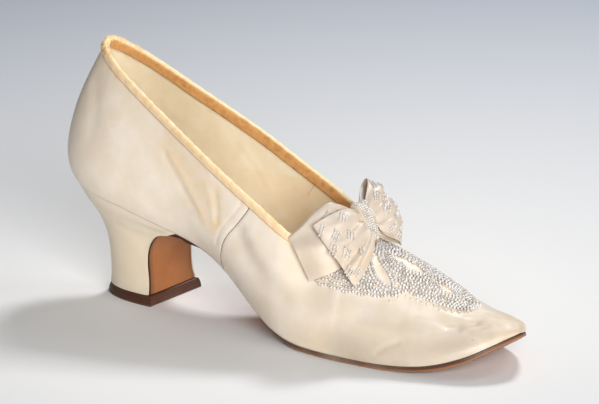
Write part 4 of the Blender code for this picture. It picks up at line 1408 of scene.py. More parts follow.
def make_heel(look):
    """Covered heel, its cover folded over the sides of the breast leather."""
    seat = heel_plan()
    rings = [heel_ring(seat, (xb, zb), (xf, zf), half, blend) for zb, xb, zf, xf, half, blend in HEEL]
    rings.append(seat + np.array([0.0, 0.0, SEAM_LAP]))
    rings = smooth_line(rings, HEEL_LEVELS)
    level = np.linspace(0.0, 1.0, HEEL_LEVELS)[:, None]
    rings = lipped_front(rings, np.clip(LIP * (1.0 - level) / LIP_FADE, LIP_LEAST, LIP))
    column = np.linspace(0.0, 1.0, rings.shape[1])[None, :]
    wave = sum(high * np.sin(up * level + turn * column) for high, up, turn in HEEL_WAVES)
    wave = wave * np.sin(math.pi * level) + band(level, *HEEL_TUCK)
    side = level_out(rings)
    side[:, HEEL_COLUMNS:] = 0.0
    verts, faces = rings_solid(rings + side * wave[:, :, None])
    height = np.repeat(level.ravel(), rings.shape[1])
    # Soil at the foot of the heel, and painted shade high on it under the seam.
    soiled = np.maximum(fading(height, *HEEL_FOOT_SOIL), band(height, *HEEL_PAINTED_SHADE))
    skin = satin_skin("heel satin", look, look.heel, look.satin_shade, CLOUDS["heel"])
    add_piece("heel_cover", verts, faces, skin, ["heel"],
              {"yellowed": band(height, *HEEL_YELLOW), "soiled": soiled}, sharp=42.0)


def make_lift(look):
    """Stacked lift under the heel, scored where its layers meet."""
    seat = heel_plan()
    rings = [heel_ring(seat, (back, z), (front, z), half, 0.0) for z, back, front, half in LIFT]
    rings = close_front(smooth_line(rings, LIFT_LEVELS))
    level = np.linspace(0.0, 1.0, LIFT_LEVELS)
    score = sum(band(level, 1.0, mark, SCORE_WIDE) for mark in LIFT_SCORES)
    rims = fading(level, 1.0, RIM_REACH) + fading(1.0 - level, 1.0, RIM_REACH)
    rings = rings - level_out(rings) * (SCORE_DEEP * score + RIM_DEEP * rims)[:, None, None]
    verts, faces = rings_solid(rings)
    edge = np.repeat(SCORE_STAIN * score + LIFT_STAIN, rings.shape[1])
    bare = (verts[:, 0] > LIFT_FRONT_X) & (np.abs(verts[:, 1]) < LIFT_FRONT_HALF)
    worn = np.repeat(fading(level, *LIFT_WEAR), rings.shape[1])
    skin = leather_skin("lift leather", look, look.lift, look.lift_dark, LIFT_PORES)
    add_piece("heel_lift", verts, faces, skin, ["top_lift"],
              {"edge": np.where(bare, 0.0, edge), "worn": worn}, sharp=50.0)


def sole_stations():
    """Path of the sole leather from the toe to the foot of the breast: x, z, both edges."""
    rows = np.append(SOLE_TIP_ROWS, np.arange(*SOLE_ROWS))
    lateral = SHAPE.foot(rows)
    medial = SHAPE.foot(-rows)
    keep = lateral[:, 0] > SOLE_END_X
    flat = np.stack([lateral[:, 0], lateral[:, 2] - GAP, lateral[:, 1], medial[:, 1]], -1)[keep]
    breast = smooth_line(BREAST, BREAST_STEPS)
    turned = np.stack([breast[:, 0], breast[:, 1], -breast[:, 2], breast[:, 2]], -1)
    return np.concatenate([flat, turned])


def make_sole(look):
    """Sole leather with a rounded edge, turned down over the heel breast."""
    stations = sole_stations()
    x, z, lateral, medial = stations.T
    way = unit(np.gradient(stations[:, :2], axis=0))
    face = np.stack([way[:, 1], -way[:, 0]], -1)
    face = np.where((face[:, :1] - face[:, 1:]) < 0.0, -face, face)
    share = np.clip((x - SOLE_THIN_X) / (SOLE_THICK_X - SOLE_THIN_X), 0.0, 1.0)
    thick = np.where(x < SOLE_END_X, SOLE_BREAST, SOLE_WAIST + (SOLE_FRONT - SOLE_WAIST) * share)
    tip = np.clip((SECTIONS[0][0] - x) / SOLE_TIP_RUN, 0.0, 1.0)
    thick = SOLE_TIP + (thick - SOLE_TIP) * tip
    turns = [(0.5 * (1.0 - math.cos(turn)), math.sin(turn))
             for turn in np.linspace(0.0, math.pi, SOLE_EDGE_POINTS)[1:-1]]
    around = [(spot, 0.0, 0.0) for spot in np.linspace(-1.0, 1.0, SOLE_ACROSS)]
    around += [(1.0, depth, swell) for depth, swell in turns]
    around += [(spot, 1.0, 0.0) for spot in np.linspace(1.0, -1.0, SOLE_ACROSS)]
    around += [(-1.0, depth, swell) for depth, swell in turns[::-1]]
    narrow, narrow_x, narrow_run = BREAST_NARROW
    wide = 0.5 * (medial - lateral) - narrow * np.clip((narrow_x - x) / narrow_run, 0.0, 1.0)
    inset = SOLE_EDGE + SOLE_BEVEL * np.interp(x, *np.array(SOLE_WAIST_SHARE).T)
    middle = 0.5 * (lateral + medial)
    lit_loss, lit_depth, lit_run = EDGE_LIGHT_AND_WEAR
    creep, steep = STAIN_CREEP
    rings = []
    edges = []
    for spot, depth, swell in around:
        reach = np.maximum(wide - inset * depth + SOLE_SWELL * swell - SOLE_SWELL, SOLE_LEAST_HALF)
        crown = SOLE_CROWN * (1.0 - abs(spot) ** 4) * (depth > 0.5)
        corner = SOLE_CORNER * (abs(spot) == 1.0) * (depth == 1.0)
        drop = thick * depth + np.where(z > SOLE_CROWN_Z, crown, 0.0) - corner
        rings.append(np.stack([x + face[:, 0] * drop, middle + spot * reach, z + face[:, 1] * drop], -1))
        # Ahead of STAIN_X the edge's lower bevel is painted lighter: light falling on it, and wear at the
        # front.
        lit_and_worn = lit_loss * np.clip((depth - lit_depth) / lit_run, 0.0, 1.0)
        stain_and_light = np.where(x < STAIN_X, 1.0, 1.0 - lit_and_worn)
        edges.append(stain_and_light if swell > 0.0 else np.full(len(x), creep * abs(spot) ** steep))
    verts, faces = rings_solid(np.stack(rings, axis=1))
    worn = np.repeat(sum(band(x, *spot) for spot in SOLE_WEAR), len(around))
    skin = leather_skin("sole leather", look, look.leather, look.leather_dark, SOLE_PORES)
    add_piece("sole_leather", verts, faces, skin, ["outsole"],
              {"edge": np.stack(edges, axis=1).ravel(), "worn": worn}, sharp=60.0)


def make_insole(look):
    """Sock inside the shoe, hollowed under the foot, with its three round marks."""
    across = np.linspace(-1.0, 1.0, SOCK_ACROSS)
    share = 0.5 * (across + 1.0)[:, None]
    plump = SOCK * (SOCK_RIM + SOCK_PLUMP * (1.0 - np.abs(across) ** SOCK_STEEP))
    rings = []
    for row in np.append(np.arange(*SOCK_ROWS), SOCK_LAST_ROW):
        pair = np.array([row, -row])
        inset = SOCK_INSET + SOCK_TOE * max(0.0, 1.0 - row / SOCK_TOE_ROWS)
        edge = SHAPE.foot(pair) - SHAPE.out(pair) * inset
        z = SHAPE.foot_z(edge[:, 0])
        low = edge[0:1] * (1.0 - share) + edge[1:2] * share
        low[:, 2] = z[0] * (1.0 - share[:, 0]) + z[1] * share[:, 0]
        top = low.copy()
        top[:, 2] += plump - SOCK_HOLLOW * (1.0 - across ** 2)
        rings.append(np.concatenate([low, top[::-1]]))
    verts, faces = rings_solid(np.array(rings))
    marks = np.zeros(len(verts))
    for x, y, radius in SOCK_MARKS:
        gap = np.hypot(verts[:, 0] - x, verts[:, 1] - y)
        marks = np.maximum(marks, np.clip(radius + MARK_EDGE - gap, 0.0, 1.0))
    ball = band(verts[:, 0], *SOCK_YELLOW)
    seat = band(verts[:, 0], *SOCK_SOIL)
    skin = satin_skin("sock cloth", look, look.sock, look.lining_shade, CLOUDS["sock"], spots=look.sock_mark)
    add_piece("sock_lining", verts, faces, skin, ["insole"],
              {"yellowed": ball, "soiled": seat, "marks": marks}, sharp=60.0)


def bead_form():
    """Points and quads of one drilled bead of width one, its hole along the first axis."""
    half = 0.5 * BEAD_LONG
    turn = np.linspace(0.0, 2.0 * math.pi, BEAD_SIDES, endpoint=False)
    rings = [np.stack([np.full(BEAD_SIDES, half * x), r * np.cos(turn), r * np.sin(turn)], -1)
             for x, r in BEAD_PROFILE]
    last = (len(rings) - 1) * BEAD_SIDES
    j = np.arange(BEAD_SIDES)
    k = (j + 1) % BEAD_SIDES
    closing = np.stack([last + j, last + k, k, j], -1)
    return np.concatenate(rings), np.concatenate([grid(len(rings), BEAD_SIDES, True), closing])


class BeadTray:
    """Beads waiting to be joined into one mesh."""

    def __init__(self, seed):
        self.chance = random.Random(seed)
        self.kept = []

    def drop(self, spot, way, lift, size):
        """Add a bead of a size and a chance tone, standing on spot along way."""
        tone = self.chance.choice(BEAD_TONES)
        self.kept.append((np.array(spot), np.array(way), np.array(lift), size, tone))

    def row(self, points, lifts, size, pitch):
        """String beads along a line of points."""
        run = distance_along(points)
        for at in np.arange(0.5 * pitch, run[-1], pitch):
            way = line_at(at + STRING_STEP, run, points) - line_at(at - STRING_STEP, run, points)
            self.drop(line_at(at, run, points), way, line_at(at, run, lifts), size)

    def pour(self, name, skin, replaced=()):
        """One mesh from all the beads."""
        if not self.kept:
            raise RuntimeError("there are no beads for " + name)
        points, quads = bead_form()
        verts = []
        tones = []
        for spot, way, lift, size, tone in self.kept:
            lift = unit(lift)
            way = unit(way - lift * np.dot(way, lift))
            side = np.cross(lift, way)
            centre = spot + lift * 0.5 * size
            verts.append(centre + size * (points[:, :1] * way + points[:, 1:2] * side + points[:, 2:] * lift))
            tones.append(np.full(len(points), tone))
        faces = [quads + index * len(points) for index in range(len(self.kept))]
        add_piece(name, np.concatenate(verts), np.concatenate(faces), skin, replaced,
                  {"tone": np.concatenate(tones)})


def motif_half(x):
    """Half width of the beadwork, with a scalloped edge."""
    inset, depth, spacing = SCALLOP
    plain = np.interp(x, *np.array(MOTIF).T)
    return plain - inset + depth * np.abs(np.sin(math.pi * (np.asarray(x) - MOTIF_BACK) / spacing))


def almond(centre, length, width):
    """Pointed oval on the vamp as (x, distance from the middle line)."""
    turn = np.linspace(-math.pi, math.pi, ALMOND_POINTS)
    across = width * np.sin(turn) * (1.0 - ALMOND_SHARP * np.cos(2.0 * turn))
    return np.stack([centre + length * np.cos(turn), across], -1)


def petal_sides(grow):
    """Closed outline of the plain petal, grown by a distance."""
    line = smooth_line(PETAL, PETAL_POINTS)
    way = unit(np.gradient(line, axis=0))
    square = np.stack([-way[:, 1], way[:, 0]], -1)
    wide = PETAL_WIDE * np.sin(np.linspace(0.0, math.pi, PETAL_POINTS)) ** PETAL_FULL + grow
    return np.concatenate([line + square * wide[:, None], (line - square * wide[:, None])[::-1]])


def inside_plain(x, w):
    """True where the satin shows through the motif."""
    for centre, length, width, _ in ALMONDS:
        if ((x - centre) / length) ** 2 + (w / width) ** 2 < 1.0:
            return True
    line = smooth_line(PETAL, PETAL_POINTS)
    gap = np.hypot(line[:, 0] - x, line[:, 1] - abs(w))
    near = int(np.argmin(gap))
    return gap[near] < PETAL_WIDE * math.sin(math.pi * near / (PETAL_POINTS - 1.0)) ** PETAL_FULL


def motif_lines():
    """Lines of beads on one side as (x, distance), in the order they are sewn."""
    x = np.linspace(MOTIF_TIP - ROW_START, MOTIF_BACK, ROW_POINTS)
    half = motif_half(x)
    lines = [np.stack([x, np.maximum(half - inset, 0.0)], -1) for inset in EDGE_ROWS]
    for centre, length, width, rounds in ALMONDS:
        for grow in ALMOND_FIRST + ALMOND_STEP * np.arange(rounds):
            lines.append(almond(centre, length + grow, width + grow))
    lines += [petal_sides(grow) for grow in PETAL_ROUNDS]
    lines += [np.stack([x, share * half], -1) for share in np.arange(*ROW_SHARES)]
    return lines


def make_beadwork(look, size):
    """Beads sewn on the vamp in rows round the plain almonds and petals."""
    satin = bpy.data.objects.get("satin_upper")
    if satin is None:
        raise RuntimeError("the beads need the satin upper first")
    tree = BVHTree.FromObject(satin, bpy.context.evaluated_depsgraph_get())
    throat = SHAPE.top(np.arange(*THROAT_ROWS))
    ridge_rows = np.arange(THROAT_ROW + 1.0)
    bead = size.bead
    tray = BeadTray(VAMP_SEED)
    taken = {}

    def sew(x, w, ahead, diameter, apart):
        """Drop one bead where there is room for it."""
        if abs(w) > motif_half(x) + VAMP_ASIDE or x < MOTIF_BACK:
            return
        if x < np.interp(abs(w), -throat[:, 1], throat[:, 0]) + VAMP_THROAT:
            return
        row = np.interp(-x, -SHAPE.ridge[:, 0], ridge_rows)
        y = w + SHAPE.get("cy", np.array([row]))[0]
        start = Vector(place((x, y, VAMP_ABOVE)))
        spot, way, _, _ = tree.ray_cast(start, Vector((0.0, 0.0, -1.0)))
        if spot is None:
            return
        spot = unplace(spot)
        cell = np.floor(spot / VAMP_CELL).astype(int)
        for step in itertools.product((-1, 0, 1), repeat=3):
            for other in taken.get(tuple(cell + step), ()):
                if np.linalg.norm(other - spot) < apart:
                    return
        taken.setdefault(tuple(cell), []).append(spot)
        tray.drop(spot, (*ahead, 0.0), way, diameter)

    def sew_pair(x, w, ahead, apart):
        """Drop a bead on both sides where the motif is beaded."""
        if not inside_plain(x, w):
            for side in (-1.0, 1.0):
                sew(x, side * w, (ahead[0], side * ahead[1]), bead, apart * bead)

    for line in motif_lines():
        run = distance_along(line)
        for at in np.arange(0.0, run[-1], VAMP_STEP):
            x, w = line_at(at, run, line)
            ahead = line_at(at + VAMP_AHEAD, run, line) - (x, w) + (1e-6, 0.0)
            sew_pair(x, w, ahead, ROW_APART)
    for x in np.arange(MOTIF_BACK, MOTIF_TIP, FILL_STEP):
        for w in np.arange(0.0, motif_half(x) - FILL_MARGIN, FILL_STEP):
            sew_pair(x, w, (1.0, FILL_SLANT), FILL_APART)
    for x in np.arange(*FRINGE):
        for side in (-1.0, 1.0):
            sew(x, side * (motif_half(x) + FRINGE_OUT), (1.0, FRINGE_SLANT * side), FRINGE_BEAD, FRINGE_APART)
    tray.pour("vamp_beads", bead_skin(look), ["vamp_beadwork"])


def loop_point(name, turn, across):
    """Middle of the ribbon in a loop: turn 0 to pi from front to back, across -1 to 1."""
    size = dict(zip(LOOP_NAMES, LOOPS[name]))
    slope = np.array([math.cos(BOW_SLOPE), 0.0, -math.sin(BOW_SLOPE)])
    face = np.array([math.sin(BOW_SLOPE), 0.0, math.cos(BOW_SLOPE)])
    far = np.sin(turn)
    near = 1.0 - far
    half = size["root"] + (size["end"] - size["root"]) * far ** LOOP_WIDEN
    out = KNOT_HALF - LOOP_START + (size["reach"] + LOOP_PAST) * far
    out = out + size["shear"] * far * 0.5 * (1.0 - np.cos(turn))
    share = 0.5 * (across + 1.0)
    puff = size["puff_top"] + (size["puff_low"] - size["puff_top"]) * share
    swing = np.cos(turn)
    swing = np.sign(swing) * np.abs(swing) ** LOOP_TURN
    lift = swing * (size["pinch"] + puff * far) - size["droop"] * far ** LOOP_FALL - LOOP_BACK * near
    lift = lift + size["crown"] * far * (1.0 - across ** 2)
    out = out - size["tuck"] * far * np.maximum(across, 0.0) ** 2
    front = far * np.sqrt(np.maximum(swing, 0.0))
    for height, middle, width in BOW_FOLDS[name]:
        lift = lift + band(across, height * front, middle, width)
    for height, middle, width, place_along, run in BOW_DENTS[name]:
        spot = ((across - middle) / width) ** 2 + ((turn - place_along) / run) ** 2
        lift = lift + height * np.exp(-spot)
    high, rate, start, power = LOOP_PLEAT
    pleat = high * near * np.cos(rate * across + start) * far ** power
    high, aside, along = LOOP_WAVE
    lift = lift + pleat + high * far * np.sin(aside * across + along * turn)
    high, aside, along, along_too, aside_too = LOOP_CRINKLE
    crinkle = high * far * np.sin(aside * across + along * turn)
    lift = lift + crinkle * np.sin(along_too * turn + aside_too * across)
    hem = LOOP_HEM[name] * far * 0.5 * (1.0 + swing) * np.maximum(across - 0.5, 0.0) / 0.5
    spread = across * half + size["slide"] * far + hem
    point = KNOT + spread[..., None] * slope + lift[..., None] * face
    point[..., 1] += size["side"] * out
    return point


def under_sheet(levels):
    """Plain layer behind the lateral loop, rolled over at its upper edge."""
    edges = smooth_line(UNDER_LAYER, levels)
    share = np.linspace(0.0, 1.0, UNDER_ACROSS)[None, :, None]
    sheet = edges[:, :1] * (1.0 - share) + edges[:, 1:] * share
    far = np.linspace(0.0, 1.0, levels)[:, None, None]
    full, high, aside, outward = UNDER_SWELL
    swell = np.sin(math.pi * share) * (full + high * np.sin(aside * share + outward * far))
    high, rate = UNDER_PLEAT
    pleat = high * (1.0 - far) * np.cos(rate * share)
    high, aside, outward = UNDER_WAVE
    pleat = pleat + high * np.sin(aside * share + outward * far) * far
    sheet = sheet + (swell + pleat * np.sin(math.pi * share) ** 0.5) * UNDER_FRONT
    down = unit(sheet[:, 1] - sheet[:, 0])
    lift = unit(UNDER_FRONT - down * (down @ UNDER_FRONT)[:, None])
    rolled = []
    for turn in np.linspace(*ROLL_TURNS):
        away = lift * (math.cos(turn) - 1.0) - down * math.sin(turn)
        rolled.append(sheet[:, 0] + ROLL_RADIUS * away)
    return np.concatenate([np.stack(rolled, axis=1), sheet], axis=1)


def ribbon_wall(line, thick):
    """Points and quads of a ribbon from its middle sheet."""
    along = np.gradient(line, axis=0)
    across = np.gradient(line, axis=1)
    face = unit(np.cross(along, across))
    verts, faces = wall_between(line + 0.5 * thick * face, line - 0.5 * thick * face, False)
    return verts, faces, face


def bow_masks(verts):
    """Masks of the bow's satin: yellower low down, and no soil."""
    return {"yellowed": band(verts[:, 2], *BOW_YELLOW), "soiled": np.zeros(len(verts))}


def bead_bars(tray, sheet, face, places, side):
    """Clusters of short bars of beads on a sheet."""
    levels, columns = sheet.shape[:2]
    for level, column, lean, bars in places:
        i = min(max(int(level * (levels - 1)), 2), levels - 3)
        j = min(max(int(column * (columns - 1)), 2), columns - 3)
        out = unit(sheet[i + 2, j] - sheet[i - 2, j])
        down = unit(sheet[i, j + 2] - sheet[i, j - 2])
        way = unit(down * math.cos(lean) + out * math.sin(lean))
        step = unit(np.cross(face[i, j], way))
        for bar in range(bars):
            offset = (bar - 0.5 * (bars - 1)) * BAR_APART
            for k in range(BAR_BEADS):
                along = (k - 0.5 * (BAR_BEADS - 1)) * BAR_PITCH + BAR_SLIP * offset
                spot = sheet[i, j] + step * offset + way * along
                flat = np.sum((sheet - spot) ** 2, axis=2)
                near = np.unravel_index(int(np.argmin(flat)), flat.shape)
                if flat[near] > BAR_OFF:
                    continue
                lift = face[near] * side
                spot = spot - lift * np.dot(spot - sheet[near], lift)
                tray.drop(spot + lift * BAR_OVER, way, lift, BAR_BEAD)


def make_bow(look, size):
    """Ribbon bow: lateral loop and its plain under layer, medial loop, wrap and beads."""
    # The bow's satin colour carries painted shade against the light on its loops.
    satin = satin_skin("bow satin", look, look.bow, look.satin_shade, CLOUDS["bow"])
    tray = BeadTray(BOW_SEED)
    across = np.linspace(-1.0, 1.0, BOW_ACROSS)
    for piece, solid, turns, levels, beaded, bars, front in BOW_LAYERS:
        if turns:
            turn, spread = np.meshgrid(np.linspace(0.0, turns * math.pi, levels), across, indexing="ij")
            sheet = loop_point(solid, turn, spread)
        else:
            sheet = under_sheet(levels)
        verts, faces, face = ribbon_wall(sheet, size.bow_ribbon)
        add_piece(piece, verts, faces, satin, [solid], bow_masks(verts), sharp=50.0)
        side = math.copysign(1.0, face[BOW_FACING] @ np.array(front))
        bead_bars(tray, sheet[:beaded], face[:beaded], bars, side)
    make_wrap(satin, tray)
    tray.pour("bow_beads", bead_skin(look))


def make_wrap(satin, tray):
    """Wrap over the middle of the bow, with its columns of beads."""
    profile = np.array(KNOT_PROFILE)
    rows = np.linspace(0.0, len(profile), WRAP_POINTS, endpoint=False)
    outline = np.stack([closed_value(profile[:, i], closed_slopes(profile[:, i], "flat"), rows)
                        for i in range(2)], -1)
    middle = outline.mean(axis=0)
    draw, steep = WRAP_ENDS
    rib, rate = WRAP_RIBS
    rings = []
    for y in np.linspace(-KNOT_HALF, KNOT_HALF, WRAP_RINGS):
        share = y / KNOT_HALF
        shrink = 1.0 - draw * abs(share) ** steep - WRAP_MIDDLE * (1.0 - share * share)
        flat = middle + (outline - middle) * (shrink + rib * math.cos(rate * share))
        rings.append(np.stack([flat[:, 0], np.full(len(flat), y), flat[:, 1]], -1))
    rings = np.array(rings)
    verts, faces = rings_solid(rings)
    add_piece("bow_wrap", verts, faces, satin, ["bow_knot"], bow_masks(verts), sharp=60.0)
    first, last = WRAP_FRONT
    for k in WRAP_STRINGS:
        line = rings[k][(rows > first) & (rows < last)]
        lifts = np.stack([line[:, 0] - middle[0], np.zeros(len(line)), line[:, 2] - middle[1]], -1)
        tray.row(line, lifts, STRING_BEAD, STRING_PITCH)


def aim_at(item, target):
    """Turn a camera or a light to a point."""
    item.rotation_euler = (target - item.location).to_track_quat("-Z", "Y").to_euler()


def make_stage(stage):
    """Pale floor, soft lights and the camera at the photograph's angle."""
    scene = bpy.context.scene
    if math.cos(stage.elevation) <= 0.0:
        raise RuntimeError("the camera is upside down")
    mesh = bpy.data.meshes.new("floor")
    turn = np.linspace(0.0, 2.0 * math.pi, FLOOR_POINTS, endpoint=False)
    ring = [(FLOOR_RADIUS * math.cos(t), FLOOR_RADIUS * math.sin(t), 0.0) for t in turn]
    mesh.from_pydata(ring, [], [list(range(len(ring)))])
    floor = link_new("floor", mesh)
    skin, wires, shader = new_skin("studio floor", Roughness=0.8, Specular_IOR_Level=0.2)
    away = wires.add("VectorMath", Vector=wires.where())
    away.operation = "LENGTH"
    fade = wires.span(away.outputs["Value"], *FLOOR_FADE)
    wires.put(shader["Base Color"], wires.mix(fade, tuple(stage.floor), tuple(stage.far_floor)))
    mesh.materials.append(skin)

    world = bpy.data.worlds.new("studio")
    scene.world = world
    world.use_nodes = True
    back = world.node_tree.nodes["Background"].inputs
    back["Color"].default_value = (*stage.air, 1.0)
    back["Strength"].default_value = stage.air_power

    azimuth = stage.azimuth
    elevation = stage.elevation
    behind = Vector((math.sin(azimuth) * math.cos(elevation), -math.cos(azimuth) * math.cos(elevation),
                     math.sin(elevation)))
    right = Vector((math.cos(azimuth), math.sin(azimuth), 0.0))
    lens = bpy.data.cameras.new("camera")
    lens.sensor_width = SENSOR_WIDTH
    lens.lens = stage.lens
    lens.clip_start, lens.clip_end = CLIP
    camera = link_new("camera", lens)
    camera.location = Vector(stage.centre) + behind * stage.distance
    aim_at(camera, Vector(stage.aim))
    scene.camera = camera
    scene.view_settings.view_transform = "Standard"

    level = Vector((behind.x, behind.y, 0.0)).normalized()
    for name, (aside, near, high, wide) in LIGHTS.items():
        lamp = bpy.data.lights.new(name, "AREA")
        lamp.size = wide
        lamp.energy = getattr(stage, name + "_power")
        item = link_new(name, lamp)
        item.location = right * aside + level * near + Vector((0.0, 0.0, high))
        aim_at(item, Vector((0.0, 0.0, 0.0)))


def colour(label, description, value):
    """Colour property."""
    return bpy.props.FloatVectorProperty(name=label, description=description, subtype="COLOR",
                                         size=3, min=0.0, max=1.0, default=value)


def number(label, description, value, **kind):
    """Number property."""
    return bpy.props.FloatProperty(name=label, description=description, default=value, **kind)


def length(label, description, value):
    """Length property in millimetres of the tables."""
    return number(label, description, value, min=0.0)


def light_power(label, description, value):
    """Power of a light."""
    return number(label, description, value, min=0.0, unit="POWER")


def stage_point(label, description, value):
    """Point on the stage."""
    return bpy.props.FloatVectorProperty(name=label, description=description, default=value,
                                         size=3, subtype="TRANSLATION")


class SlipperColours(bpy.types.PropertyGroup):
    """Colours of the slipper's materials."""

    satin: colour("Satin", "Ivory satin of the upper", (0.89, 0.785, 0.66))
    satin_shade: colour("Satin shade", "Darker cloud in the satin", (0.81, 0.68, 0.52))
    heel: colour("Heel satin", "Satin over the heel", (0.77, 0.67, 0.52))
    # Yellowing, also laid as painted shade low on the vamp and inside the lining.
    yellowed: colour("Yellowing", "Aged glue and handling marks", (0.86, 0.65, 0.41))
    # Painted shade on the vamp's sides and the toe.
    toned: colour("Toned satin", "Satin darkened with age", (0.38, 0.325, 0.26))
    # Dirt, also laid as painted shade on the toe and high on the heel.
    soil: colour("Soil", "Grey brown dirt", (0.3, 0.22, 0.15))
    lining: colour("Lining", "Cloth inside the upper", (0.9, 0.8, 0.61))
    lining_shade: colour("Lining shade", "Darker cloud in the lining", (0.8, 0.67, 0.45))
    sock: colour("Sock", "Cloth over the insole", (0.82, 0.72, 0.52))
    sock_mark: colour("Sock marks", "Round brown marks on the sock", (0.42, 0.22, 0.08))
    binding: colour("Binding", "Ribbon over the topline", (0.96, 0.79, 0.49))
    binding_dark: colour("Binding shade", "Ribbon between its threads", (0.86, 0.56, 0.22))
    binding_hem: colour("Binding hem", "Outer hem of the ribbon", (0.93, 0.69, 0.45))
    hem_dark: colour("Binding hem shade", "Worn places of the outer hem", (0.86, 0.56, 0.28))
    amber: colour("Binding inside", "Ribbon inside the topline", (0.72, 0.385, 0.14))
    amber_dark: colour("Binding inside shade", "Inside ribbon between its threads", (0.47, 0.2, 0.05))
    leather: colour("Sole leather", "Tan leather of sole and breast", (0.37, 0.138, 0.043))
    leather_dark: colour("Sole leather shade", "Darker cloud in the leather", (0.3, 0.105, 0.031))
    sole_edge: colour("Sole edge", "Stained edge of the sole", (0.045, 0.014, 0.007))
    lift: colour("Lift", "Leather of the top lift", (0.1, 0.038, 0.020))
    lift_dark: colour("Lift shade", "Darker cloud in the lift", (0.045, 0.018, 0.012))
    bead: colour("Bead", "Clear glass bead", (0.9, 0.87, 0.84))
    bead_dark: colour("Dark bead", "Silvered glass bead", (0.63, 0.56, 0.5))
    # Painted shade: the bow's satin is kept darker than the upper's against the light on its loops.
    bow: colour("Bow satin", "Ribbon of the bow", (0.59, 0.5, 0.41))
    thread: colour("Seam", "Slit of the side seams", (0.26, 0.2, 0.12))
    lining_thread: colour("Lining seam", "Slit of the lining's seams", (0.3, 0.22, 0.12))


class SlipperSizes(bpy.types.PropertyGroup):
    """Sizes of the soft parts, in millimetres."""

    crease: number("Crease depth", "Scale of the satin's creases", 1.0, min=0.0, max=3.0, subtype="FACTOR")
    ribbon: length("Binding ribbon", "Thickness of the binding", 0.55)
    binding_out: length("Binding outside", "Depth of the binding outside the topline", 2.4)
    binding_in: length("Binding inside", "Depth of the binding inside the topline", 4.2)
    bow_ribbon: length("Bow ribbon", "Thickness of the bow's ribbon", 0.32)
    bead: length("Bead", "Diameter of a bead on the vamp", 1.45)
    frays: bpy.props.IntProperty(name="Loose threads", description="Threads frayed from the binding",
                                 default=420, min=1, max=2000)


class SlipperStage(bpy.types.PropertyGroup):
    """Floor, lights and camera."""

    floor: colour("Floor", "Floor near the slipper", (0.91, 0.91, 0.91))
    far_floor: colour("Far floor", "Floor away from the slipper", (0.43, 0.465, 0.53))
    air: colour("Air", "Light from all round", (1.0, 0.99, 0.98))
    air_power: number("Air power", "Strength of the light from all round", 0.15, min=0.0)
    key_power: light_power("Key power", "Light beyond the toe", 2.2)
    front_power: light_power("Front power", "Wide light beside the camera", 46.5)
    back_power: light_power("Back power", "Light above and behind the slipper", 13.5)
    azimuth: number("Azimuth", "Camera's turn round the slipper", math.radians(37.0), subtype="ANGLE")
    elevation: number("Elevation", "Camera's height angle", math.radians(16.4), subtype="ANGLE")
    distance: number("Distance", "Camera to the photograph's middle", 2.3, min=0.5, unit="LENGTH")
    lens: number("Lens", "Focal length in millimetres", 300.0, min=1.0, unit="CAMERA")
    centre: stage_point("Centre", "Point in the middle of the photograph", (-0.06904, 0.015643, 0.048056))
    aim: stage_point("Aim", "Point that the camera is turned to", (-0.02721, 0.0447, 0.0415))


class SlipperOperator:
    """Shared settings of the slipper's operators."""

    bl_options = {"REGISTER", "UNDO"}

    def settings(self, context):
        """Colours and sizes kept in the scene."""
        return context.scene.slipper_colours, context.scene.slipper_sizes


class SLIPPER_OT_stage(SlipperOperator, bpy.types.Operator):
    """Make the floor, the lights and the camera"""

    bl_idname = "slipper.stage"
    bl_label = "Stage"

    def execute(self, context):
        make_stage(context.scene.slipper_stage)
        return {"FINISHED"}


class SLIPPER_OT_upper(SlipperOperator, bpy.types.Operator):
    """Make the satin upper, its lining and its side seams"""

    bl_idname = "slipper.upper"
    bl_label = "Upper and lining"

    def execute(self, context):
        look, size = self.settings(context)
        make_upper(look, size)
        make_seams(look, size.crease)
        return {"FINISHED"}


class SLIPPER_OT_binding(SlipperOperator, bpy.types.Operator):
    """Make the ribbon over the topline and its loose threads"""

    bl_idname = "slipper.binding"
    bl_label = "Binding"

    def execute(self, context):
        make_binding(*self.settings(context))
        return {"FINISHED"}


class SLIPPER_OT_heel(SlipperOperator, bpy.types.Operator):
    """Make the covered heel and its top lift"""

    bl_idname = "slipper.heel"
    bl_label = "Heel and lift"

    def execute(self, context):
        look, _ = self.settings(context)
        make_heel(look)
        make_lift(look)
        return {"FINISHED"}


class SLIPPER_OT_sole(SlipperOperator, bpy.types.Operator):
    """Make the sole leather"""

    bl_idname = "slipper.sole"
    bl_label = "Sole"

    def execute(self, context):
        make_sole(self.settings(context)[0])
        return {"FINISHED"}


class SLIPPER_OT_insole(SlipperOperator, bpy.types.Operator):
    """Make the sock inside the shoe"""

    bl_idname = "slipper.insole"
    bl_label = "Insole"

    def execute(self, context):
        make_insole(self.settings(context)[0])
        return {"FINISHED"}


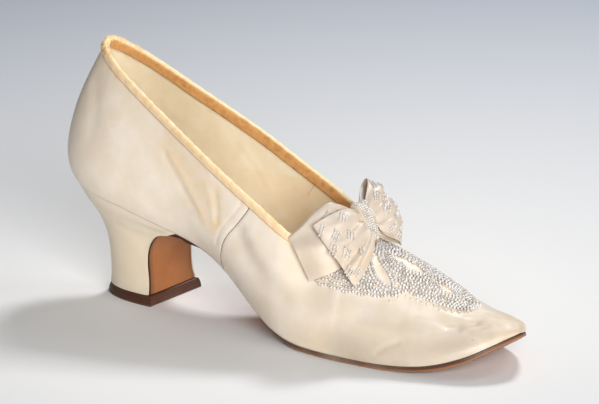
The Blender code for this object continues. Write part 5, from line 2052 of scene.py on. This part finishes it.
class SLIPPER_OT_beadwork(SlipperOperator, bpy.types.Operator):
    """Sew the beads on the vamp"""

    bl_idname = "slipper.beadwork"
    bl_label = "Beadwork"

    def execute(self, context):
        make_beadwork(*self.settings(context))
        return {"FINISHED"}


class SLIPPER_OT_bow(SlipperOperator, bpy.types.Operator):
    """Tie the ribbon bow and sew its beads"""

    bl_idname = "slipper.bow"
    bl_label = "Bow"

    def execute(self, context):
        make_bow(*self.settings(context))
        return {"FINISHED"}


OPERATORS = (SLIPPER_OT_stage, SLIPPER_OT_upper, SLIPPER_OT_binding, SLIPPER_OT_heel, SLIPPER_OT_sole,
             SLIPPER_OT_insole, SLIPPER_OT_beadwork, SLIPPER_OT_bow)


class SLIPPER_PT_panel(bpy.types.Panel):
    """Steps of the slipper in the sidebar"""

    bl_idname = "SLIPPER_PT_panel"
    bl_label = "Evening Slipper"
    bl_space_type = "VIEW_3D"
    bl_region_type = "UI"
    bl_category = "Slipper"

    def draw(self, context):
        for step in OPERATORS:
            self.layout.operator(step.bl_idname)
        for name in SETTINGS:
            group = getattr(context.scene, name)
            box = self.layout.box()
            for setting in group.__annotations__:
                box.prop(group, setting)


SETTINGS = {"slipper_colours": SlipperColours, "slipper_sizes": SlipperSizes, "slipper_stage": SlipperStage}


def register():
    """Register the settings, operators and panel."""
    for name, group in SETTINGS.items():
        bpy.utils.register_class(group)
        setattr(bpy.types.Scene, name, bpy.props.PointerProperty(type=group))
    for step in OPERATORS + (SLIPPER_PT_panel,):
        bpy.utils.register_class(step)


def unregister():
    """Remove what register added."""
    for step in (SLIPPER_PT_panel,) + OPERATORS[::-1]:
        bpy.utils.unregister_class(step)
    for name, group in SETTINGS.items():
        delattr(bpy.types.Scene, name)
        bpy.utils.unregister_class(group)


def main():
    """Build the slipper's finish step by step."""
    register()
    for step in (bpy.ops.slipper.stage, bpy.ops.slipper.upper, bpy.ops.slipper.binding, bpy.ops.slipper.heel,
                 bpy.ops.slipper.sole, bpy.ops.slipper.insole, bpy.ops.slipper.beadwork, bpy.ops.slipper.bow):
        step()


if __name__ == "__main__":
    main()
